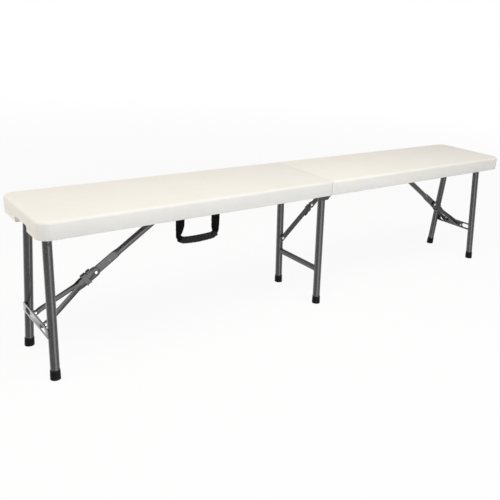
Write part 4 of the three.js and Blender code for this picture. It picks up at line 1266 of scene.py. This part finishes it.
@dataclass
class CarryHandle:
    """Webbing strap sewn round two bars, curled into a moulded grip.

    Attributes:
        sag: How far the grip's ends lie above its middle.
        corner: Reach of the bend at each end of the grip.
        belly: How far the left and the right drop swing along the bench.
        pinch: From the bar down to where both layers meet.
        front_set: From the handle's plane forward to the front layer.
        back_set: From the handle's plane back to the sewn tail.
        overlap: Length of the sewn overlap.
        merge: Length over which the front layer moves into the handle's plane.
        flat_curl: Curl of the flat strap.
        full_curl: What the grip adds to it.
        curl_left: Distances from the left tail between which the strap curls.
        curl_right: Distances from the right tail between which it curls.
        creases: Places of the creases along the grip, from 0 to 1.
        stitch_levels: From the bars down to the flat rows of stitches.
    """

    centre_x: float = HANDLE_BARS.x - 0.001
    span: float = 0.112
    y: float = HANDLE_BARS.y
    pivot_z: float = HANDLE_BARS.z
    grip_z: float = 0.323
    sag: float = 0.007
    corner: float = 0.011
    width: float = 0.026
    belly: Pair = (-0.0055, 0.0055)
    thickness: float = 0.0012
    loop_radius: float = 0.0019
    pinch: float = 0.003
    front_set: float = 0.0002
    back_set: float = 0.00102
    overlap: float = 0.021
    merge: float = 0.012
    slack: float = 0.001
    flat_curl: float = 0.01
    full_curl: float = 2.54
    curl_left: Pair = (0.044, 0.088)
    curl_right: Pair = (0.062, 0.094)
    grip_radius: float = 0.0104
    grip_rings: int = 110
    squeeze: float = 0.96
    grip_round: float = 0.0015
    grip_bore: float = 0.70
    bore_depth: float = 0.006
    creases: tuple[float, ...] = (0.07, 0.16, 0.27, 0.36, 0.47, 0.58, 0.66, 0.78, 0.87, 0.94)
    crease_width: float = 0.010
    crease_depth: float = 0.0011
    stitch_levels: Pair = (0.0065, 0.0175)
    stitch_step: float = 0.0034
    seam_x: float = 0.0104
    seam_top: float = 0.0085
    seam_step: float = 0.0024
    thread: float = 0.0003
    thread_lift: float = 0.00005

    def _line(self) -> list[Vector]:
        """Draws the centre line from the left strap, through the grip, to the right one.

        Returns:
            Points about a millimetre apart.
        """
        def at(x: float, z: float) -> Vector:
            """Point in the plane of the handle."""
            return Vector((self.centre_x + x, self.y, z))

        half, third = self.span / 2, self.sag / 3
        low = self.grip_z + self.sag
        top = low + self.corner
        start = self.pivot_z - self.overlap - self.merge - self.slack
        left, right = (at(side * (half - self.corner), self.grip_z + third) for side in (-1, 1))
        points = [at(-half, start + (top - start) * k / 10) for k in range(10)]
        points += curve(at(-half, top), at(-half, low), left, 20)
        points += curve(left, at(0, self.grip_z - third), right, 70)
        points += curve(right, at(half, low), at(half, top), 20)
        points += [at(half, top + (start - top) * k / 10) for k in range(11)]
        for point in points:
            fall = clamped((start - point.z) / (start - self.grip_z))
            across = (point.x - self.centre_x) / half
            sway = self.belly[across > 0] * math.sin(math.pi * fall ** 1.6)
            point.x += sway * abs(across) ** 6
        return points

    def _loop(self, side: int) -> list[Station]:
        """Lays the strap from its sewn tail, over the bar and down the front.

        Both layers pinch together just under the bar, so that the strap lies flat in the gap when the halves
        are folded.

        Args:
            side: -1 for the left end of the strap, 1 for the right one.

        Returns:
            Places of the strap, from the tail on.
        """
        r, pinch, sewn = self.loop_radius, self.pinch, self.overlap - self.pinch
        back, front = self.back_set, self.front_set
        line = [(back, sewn * k / 6 - self.overlap) for k in range(7)]
        line += [(back + (r - back) * eased(k / 6), pinch * (k / 6 - 1)) for k in range(1, 6)]
        line += [(r * math.cos(t), r * math.sin(t)) for t in (math.pi * k / 12 for k in range(13))]
        line += [((r - front) * eased(k / 6) - r, -pinch * k / 6) for k in range(1, 7)]
        line += [(-front, -pinch - sewn * k / 5) for k in range(1, 6)]
        line += [(front * (eased(k / 4) - 1), -self.overlap - self.merge * k / 4) for k in range(1, 5)]
        x = self.centre_x + side * self.span / 2
        places = [Vector((x, self.y + y, self.pivot_z + z)) for y, z in line]
        loop = []
        for k, place in enumerate(places):
            ahead = chord(places, k).normalized()
            loop.append(Station(place, Vector((-side, 0, 0)), Vector((0, -ahead.z, ahead.y))))
        return loop

    def _stations(self) -> list[Station]:
        """Lays the whole strap, from one sewn tail to the other.

        Returns:
            Its places, with their distance and curl.
        """
        line = self._line()
        stations = self._loop(-1)
        for k, place in enumerate(line):
            ahead = chord(line, k).normalized()
            stations.append(Station(place, Vector((-ahead.z, 0, ahead.x)), Vector((0, 1, 0))))
        stations += self._loop(1)[::-1]
        runs = distances([station.place for station in stations])
        for station, run in zip(stations, runs):
            back = runs[-1] - run
            reach, (start, end) = (run, self.curl_left) if run < back else (back, self.curl_right)
            station.run = run
            station.curl = self.flat_curl + self.full_curl * eased(clamped((reach - start) / (end - start)))
        return stations

    def _section(self, station: Station, steps: int = 12) -> list[Vector]:
        """Draws the closed outline of the curled strap at one place.

        Args:
            station: The place.
            steps: Facets across the width.

        Returns:
            Points round the outline.
        """
        radius = self.width / (2 * station.curl)
        mean = radius * (1 - math.sin(station.curl) / station.curl)
        outline = []
        for side in (1, -1):
            for k in range(steps + 1)[::side]:
                turn = station.curl * (2 * k / steps - 1)
                r = radius + side * self.thickness / 2 * (0.5 if k in (0, steps) else 1.0)
                depth = radius - r * math.cos(turn) - mean
                aside = station.across * (r * math.sin(turn)) + station.through * depth
                outline.append(station.place + aside)
        return outline

    def _grip(self) -> Mesh:
        """Makes the moulded grip, with shallow uneven creases and rounded ends."""
        line = self._line()
        runs = distances(line)
        start = (self.pivot_z - self.grip_z - self.sag) - (self.overlap + self.merge + self.slack)
        end = runs[-1] - start
        bore = self.grip_radius * self.grip_bore
        rows = [(start + self.bore_depth, bore, 0.0), (start, bore, 0.0)]
        for share in (k / self.grip_rings for k in range(self.grip_rings + 1)):
            radius = self.grip_radius * (1 - 0.03 * math.cos(share * math.pi) ** 2)
            for crease in self.creases:
                dip = math.exp(-((share - crease) / self.crease_width) ** 2)
                radius -= self.crease_depth * dip * (0.7 + 0.3 * math.sin(9 * crease))
            near = clamped(min(share, 1 - share) * (end - start) / self.grip_round)
            radius -= self.grip_round * (1 - math.sqrt(1 - (1 - near) ** 2))
            rows.append((start + (end - start) * share, radius, share))
        rows += [(end, bore, 1.0), (end - self.bore_depth, bore, 1.0)]
        rings = []
        for run, radius, share in rows:
            k = max(i for i, value in enumerate(runs[:-1]) if value <= max(run, 0.0))
            place = line[k].lerp(line[k + 1], (run - runs[k]) / (runs[k + 1] - runs[k]))
            ahead = (line[min(k + 2, len(line) - 1)] - line[max(k - 1, 0)]).normalized()
            rings.append(self._grip_ring(place, ahead, radius, share))
        return rings_to_mesh(rings, [run for run, _, _ in rows], math.tau * self.grip_radius)

    def _grip_ring(self, place: Vector, ahead: Vector, radius: float, share: float) -> list[Vector]:
        """Draws a ring of the grip, a little flattened where the hand squeezes it.

        Args:
            place: Centre.
            ahead: Direction of the line.
            radius: Outer radius.
            share: Place along the grip from 0 to 1.

        Returns:
            Points round the ring.
        """
        across = Vector((-ahead.z, 0, ahead.x))
        ring = []
        for t in (math.tau * k / 36 for k in range(36)):
            swell = 1 + 0.012 * math.sin(5 * t + 14 * share) + 0.010 * math.sin(3 * t - 22 * share)
            spoke = across * math.sin(t) * self.squeeze + Vector((0, 1, 0)) * math.cos(t)
            ring.append(place + spoke * radius * swell)
        return ring

    def _stitches(self) -> Mesh:
        """Makes the thread of the two sewn overlaps, front and back."""
        lift = self.thickness / 2 + self.thread_lift
        flat, upright = Vector((0.0012, 0, 0)), Vector((0, 0, 0.0010))
        rows = [(dx * self.stitch_step, -level, flat) for level in self.stitch_levels for dx in range(-3, 4)]
        levels = [-self.seam_top - self.seam_step * k for k in range(4)]
        rows += [(dx, level, upright) for level in levels for dx in (-self.seam_x, self.seam_x)]
        parts = []
        for x in (self.centre_x - self.span / 2, self.centre_x + self.span / 2):
            for dx, dz, reach in rows:
                for y in (self.y - self.front_set - lift, self.y + self.back_set + lift):
                    parts.append(rod(self.thread, Vector((x + dx, y, self.pivot_z + dz)), reach, 8))
        return gathered(parts)

    def place(self) -> None:
        """Builds the strap, its grip and its stitches and puts them on the handle's body."""
        stations = self._stations()
        rings = [self._section(station) for station in stations]
        strap = rings_to_mesh(rings, [station.run for station in stations], 2 * (self.width + self.thickness))
        Piece("handle_strap", strap, STRAP, "handle", ("handle_webbing",), crease=70.0).place()
        Piece("handle_moulded_grip", self._grip(), GRIP, "handle", ("handle_grip",), crease=60.0).place()
        Piece("handle_stitches", self._stitches(), THREAD, "handle").place()
        LOG.info("strap length %.3f m", stations[-1].run)


# Screws


def screw(seat: Vector, radius: float, height: float) -> Mesh:
    """Makes a pan-head screw that faces down, and sinks its cross recess.

    Args:
        seat: Point on the surface under the head.
        radius: Head radius.
        height: Head height.

    Returns:
        The mesh of the head.
    """
    r, h = radius, height
    profile = [(0, -SCREW_UNDER), (r, -SCREW_UNDER)]
    profile += [(r, h * 0.35), (r * 0.93, h * 0.66), (r * 0.72, h * 0.9)]
    profile += [(r * 0.5, h), (0, h)]
    arms = ((r * 0.5, r * 0.14), (r * 0.14, r * 0.5))
    cuts = [(CUT, block((-x, -y, h * 0.45), (x, y, h * 2))) for x, y in arms]
    head = carved(lathe(profile, 20, Matrix.Identity(4)), cuts)
    spin = Matrix.Rotation(seat.x * SCREW_SPREAD[X] + seat.y * SCREW_SPREAD[Y], 4, "Z")
    bmesh.ops.transform(
        head, matrix=Matrix.Translation(seat) @ facing(Vector((0, 0, -1))) @ spin, verts=head.verts)
    return head


@dataclass
class Fasteners:
    """Pan-head screws that hold the metal parts to one seat half.

    Attributes:
        rail_head: Radius and height of the screw heads of the rails. The other heads are given alike.
        bracket_x: Middles of the handle's brackets.
        bracket_step: From there to each screw.
        stay_x: Screws of the stay's bracket.
    """

    side: Side
    rail_x: tuple[float, ...] = (0.085, 0.180, 0.330, 0.540, 0.680, 0.800)
    rail_y: float = 0.1252
    rail_face: float = 0.4202
    rail_head: Pair = (0.0036, 0.0019)
    leaf_x: tuple[float, ...] = (0.022, 0.036)
    leaf_y: float = 0.055
    leaf_step: float = 0.011
    leaf_face: float = 0.3894
    leaf_head: Pair = (0.0034, 0.0014)
    bracket_x: tuple[float, ...] = (-0.534, -0.423)
    bracket_step: float = 0.0170
    bracket_face: float = 0.3895
    bracket_head: Pair = (0.0028, 0.0014)
    stay_x: tuple[float, ...] = (0.2500, 0.2670)
    stay_y: float = 0.0655
    stay_head: Pair = (0.0032, 0.0017)

    def place(self) -> None:
        """Drives every screw of this half and puts them on its body as one piece."""
        sign = self.side.value
        heads = []
        for place in Place:
            for x in self.rail_x:
                heads.append(((sign * x, place.value * self.rail_y, self.rail_face), self.rail_head))
            for x in self.leaf_x:
                for step in (-self.leaf_step, self.leaf_step):
                    y = place.value * self.leaf_y + step
                    heads.append(((sign * x, y, self.leaf_face), self.leaf_head))
        if self.side is Side.LEFT:
            for x in self.bracket_x:
                for step in (-self.bracket_step, self.bracket_step):
                    heads.append(((x + step, -self.rail_y, self.bracket_face), self.bracket_head))
        else:
            heads += [((x, self.stay_y, self.rail_face), self.stay_head) for x in self.stay_x]
        word = self.side.word
        screws = gathered(screw(Vector(seat), *head) for seat, head in heads)
        Piece(f"{word}_half_screws", screws, ZINC, f"{word}_half").place()


# Studio


@dataclass(frozen=True)
class Lamp:
    """A soft box that faces the bench.

    Attributes:
        name: Lamp name.
        place: Where it hangs.
        aim: Point that it faces.
        size: Width and height of the box.
        power: Watts.
        colour: Linear colour of its light.
    """

    name: str
    place: Spot
    aim: Spot
    size: Pair
    power: float
    colour: Spot

    def hang(self) -> None:
        """Makes the lamp, which lights the bench and shows in its gloss but not to the camera."""
        data = bpy.data.lights.new(self.name, "AREA")
        data.shape = "RECTANGLE"
        data.size, data.size_y = self.size
        data.energy = self.power
        data.color = self.colour
        lamp = bpy.data.objects.new(self.name, data)
        turn = (Vector(self.aim) - Vector(self.place)).to_track_quat("-Z", "Y").to_matrix().to_4x4()
        lamp.matrix_world = Matrix.Translation(self.place) @ turn
        lamp.visible_camera = False
        bpy.context.scene.collection.objects.link(lamp)


def sheet(name: str, cells: int, size: float, material: bpy.types.Material) -> bpy.types.Object:
    """Makes a flat square sheet for the stage.

    Args:
        name: Name of the object.
        cells: Faces along each side.
        size: From its middle to each side.
        material: What it is made of.

    Returns:
        The object.
    """
    bm = bmesh.new()
    bmesh.ops.create_grid(bm, x_segments=cells, y_segments=cells, size=size)
    thing = as_object(bm, name)
    thing.data.materials.append(material)
    return thing


@dataclass(frozen=True)
class Board:
    """A tall bright board that stands in the floor and shows in gloss alone.

    Attributes:
        name: Board name.
        place: Its middle, which faces the origin.
        size: Width and height.
        glow: How bright it is.
    """

    name: str
    place: Spot
    size: Pair
    glow: float

    def stand(self) -> None:
        """Makes the board."""
        made, nodes, _ = fresh_material(self.name)
        nodes.surface(nodes.add("Emission", {"Strength": self.glow}).outputs[0])
        thing = sheet(self.name, 1, 0.5, made)
        place = Vector(self.place)
        turn = (-place).to_track_quat("Z", "Y").to_matrix().to_4x4()
        thing.matrix_world = Matrix.Translation(place) @ turn @ Matrix.Diagonal((*self.size, 1.0, 1.0))
        thing.visible_camera = False
        thing.visible_diffuse = False
        thing.visible_shadow = False


@dataclass
class Studio:
    """Pale floor, soft lights and the camera of the photograph."""

    azimuth: float = -38.66
    elevation: float = 18.64
    roll: float = 3.7
    place_mm: Spot = (-1341.6, -1509.0, 911.7)
    focal_px: float = 626.07
    centre_px: Pair = (267.55, 227.81)
    frame_px: float = 500.0
    sensor_mm: float = 36.0
    ambient: float = 0.25
    floor_size: float = 30.0
    floor_white: float = 0.92
    floor_glow: float = 0.92
    glow_reach: Pair = (1.6, 5.0)
    boards: tuple[Board, ...] = (
        Board("front_board", (-0.35, -1.66, 0.0), (1.5, 3.4), 3.6),
        Board("left_board", (-1.6, 1.9, 0.0), (2.4, 3.4), 1.7),
    )
    lamps: tuple[Lamp, ...] = (
        Lamp("overhead", (-0.3, -0.9, 2.4), (0.0, 0.0, 0.4), (3.4, 1.2), 46.5, (1.0, 0.95, 0.87)),
        Lamp("front", (-0.3, -2.3, 1.3), (-0.3, 0.0, 0.3), (0.7, 1.4), 12.0, (0.62, 0.78, 1.0)),
        Lamp("left", (-3.4, 0.3, 1.1), (-0.6, 0.0, 0.25), (1.2, 1.2), 18.5, (1.0, 0.97, 0.88)),
    )

    def _camera(self) -> None:
        """Sets the camera from the fit."""
        az, el, ro = (math.radians(v) for v in (self.azimuth, self.elevation, self.roll))
        back = Vector((math.sin(az) * math.cos(el), -math.cos(az) * math.cos(el), math.sin(el)))
        right = Vector((math.cos(az), math.sin(az), 0))
        up = back.cross(right)
        turned_right = right * math.cos(ro) + up * math.sin(ro)
        turned_up = up * math.cos(ro) - right * math.sin(ro)
        data = bpy.data.cameras.new("view")
        data.sensor_width = self.sensor_mm
        data.lens = self.focal_px / self.frame_px * self.sensor_mm
        data.shift_x = (self.frame_px / 2 - self.centre_px[0]) / self.frame_px
        data.shift_y = (self.centre_px[1] - self.frame_px / 2) / self.frame_px
        data.clip_start = 0.01
        data.dof.use_dof = False
        camera = bpy.data.objects.new("view", data)
        turn = Matrix((turned_right, turned_up, back)).transposed().to_4x4()
        camera.matrix_world = Matrix.Translation(Vector(self.place_mm) * MM) @ turn
        bpy.context.scene.collection.objects.link(camera)
        bpy.context.scene.camera = camera

    def _world(self) -> None:
        """Lights the room evenly and shows white to the camera, in gloss and through clear pieces."""
        world = bpy.data.worlds.new("room")
        bpy.context.scene.world = world
        world.use_nodes = True
        board = NodeBoard(world.node_tree)
        backdrop = world.node_tree.nodes["Background"]
        backdrop.inputs["Color"].default_value = (1, 1, 1, 1)
        board.feed(backdrop.inputs["Strength"], board.map_value(board.seen(), self.ambient, 1.0))

    def _floor(self) -> None:
        """Lays a white floor that keeps a faint shadow of the bench."""
        made, board, shader = fresh_material("white_floor")
        shader.inputs["Base Color"].default_value = (self.floor_white, self.floor_white, self.floor_white, 1)
        shader.inputs["Roughness"].default_value = 1.0
        shader.inputs["Specular IOR Level"].default_value = 0.0
        away = board.add("VectorMath", {0: board.coordinates()}, operation="LENGTH").outputs["Value"]
        glowing = board.map_value(board.spread(away, *self.glow_reach), self.floor_glow, 1.0)
        share = board.combine("MULTIPLY", board.seen(), glowing)
        glow = board.add("Emission", {}).outputs[0]
        board.surface(board.add("MixShader", {0: share, 1: shader.outputs[0], 2: glow}).outputs[0])
        floor = sheet("floor", 2, self.floor_size, made)
        floor.visible_glossy = False

    def place(self) -> None:
        """Sets camera, lamps, world and floor."""
        self._camera()
        self._world()
        self._floor()
        for board in self.boards:
            board.stand()
        for lamp in self.lamps:
            lamp.hang()
        bpy.context.scene.view_settings.view_transform = "Standard"


def main() -> None:
    """Builds the studio and every sub-assembly in order, and reports each piece."""
    Studio().place()
    for side in Side:
        SeatHalf(side).place()
        EndLegSet(side).place()
        BraceArm(side).place()
        Fasteners(side).place()
    MiddleLegSet().place()
    CarryHandle().place()
    Hardware().place()


if __name__ == "__main__":
    main()
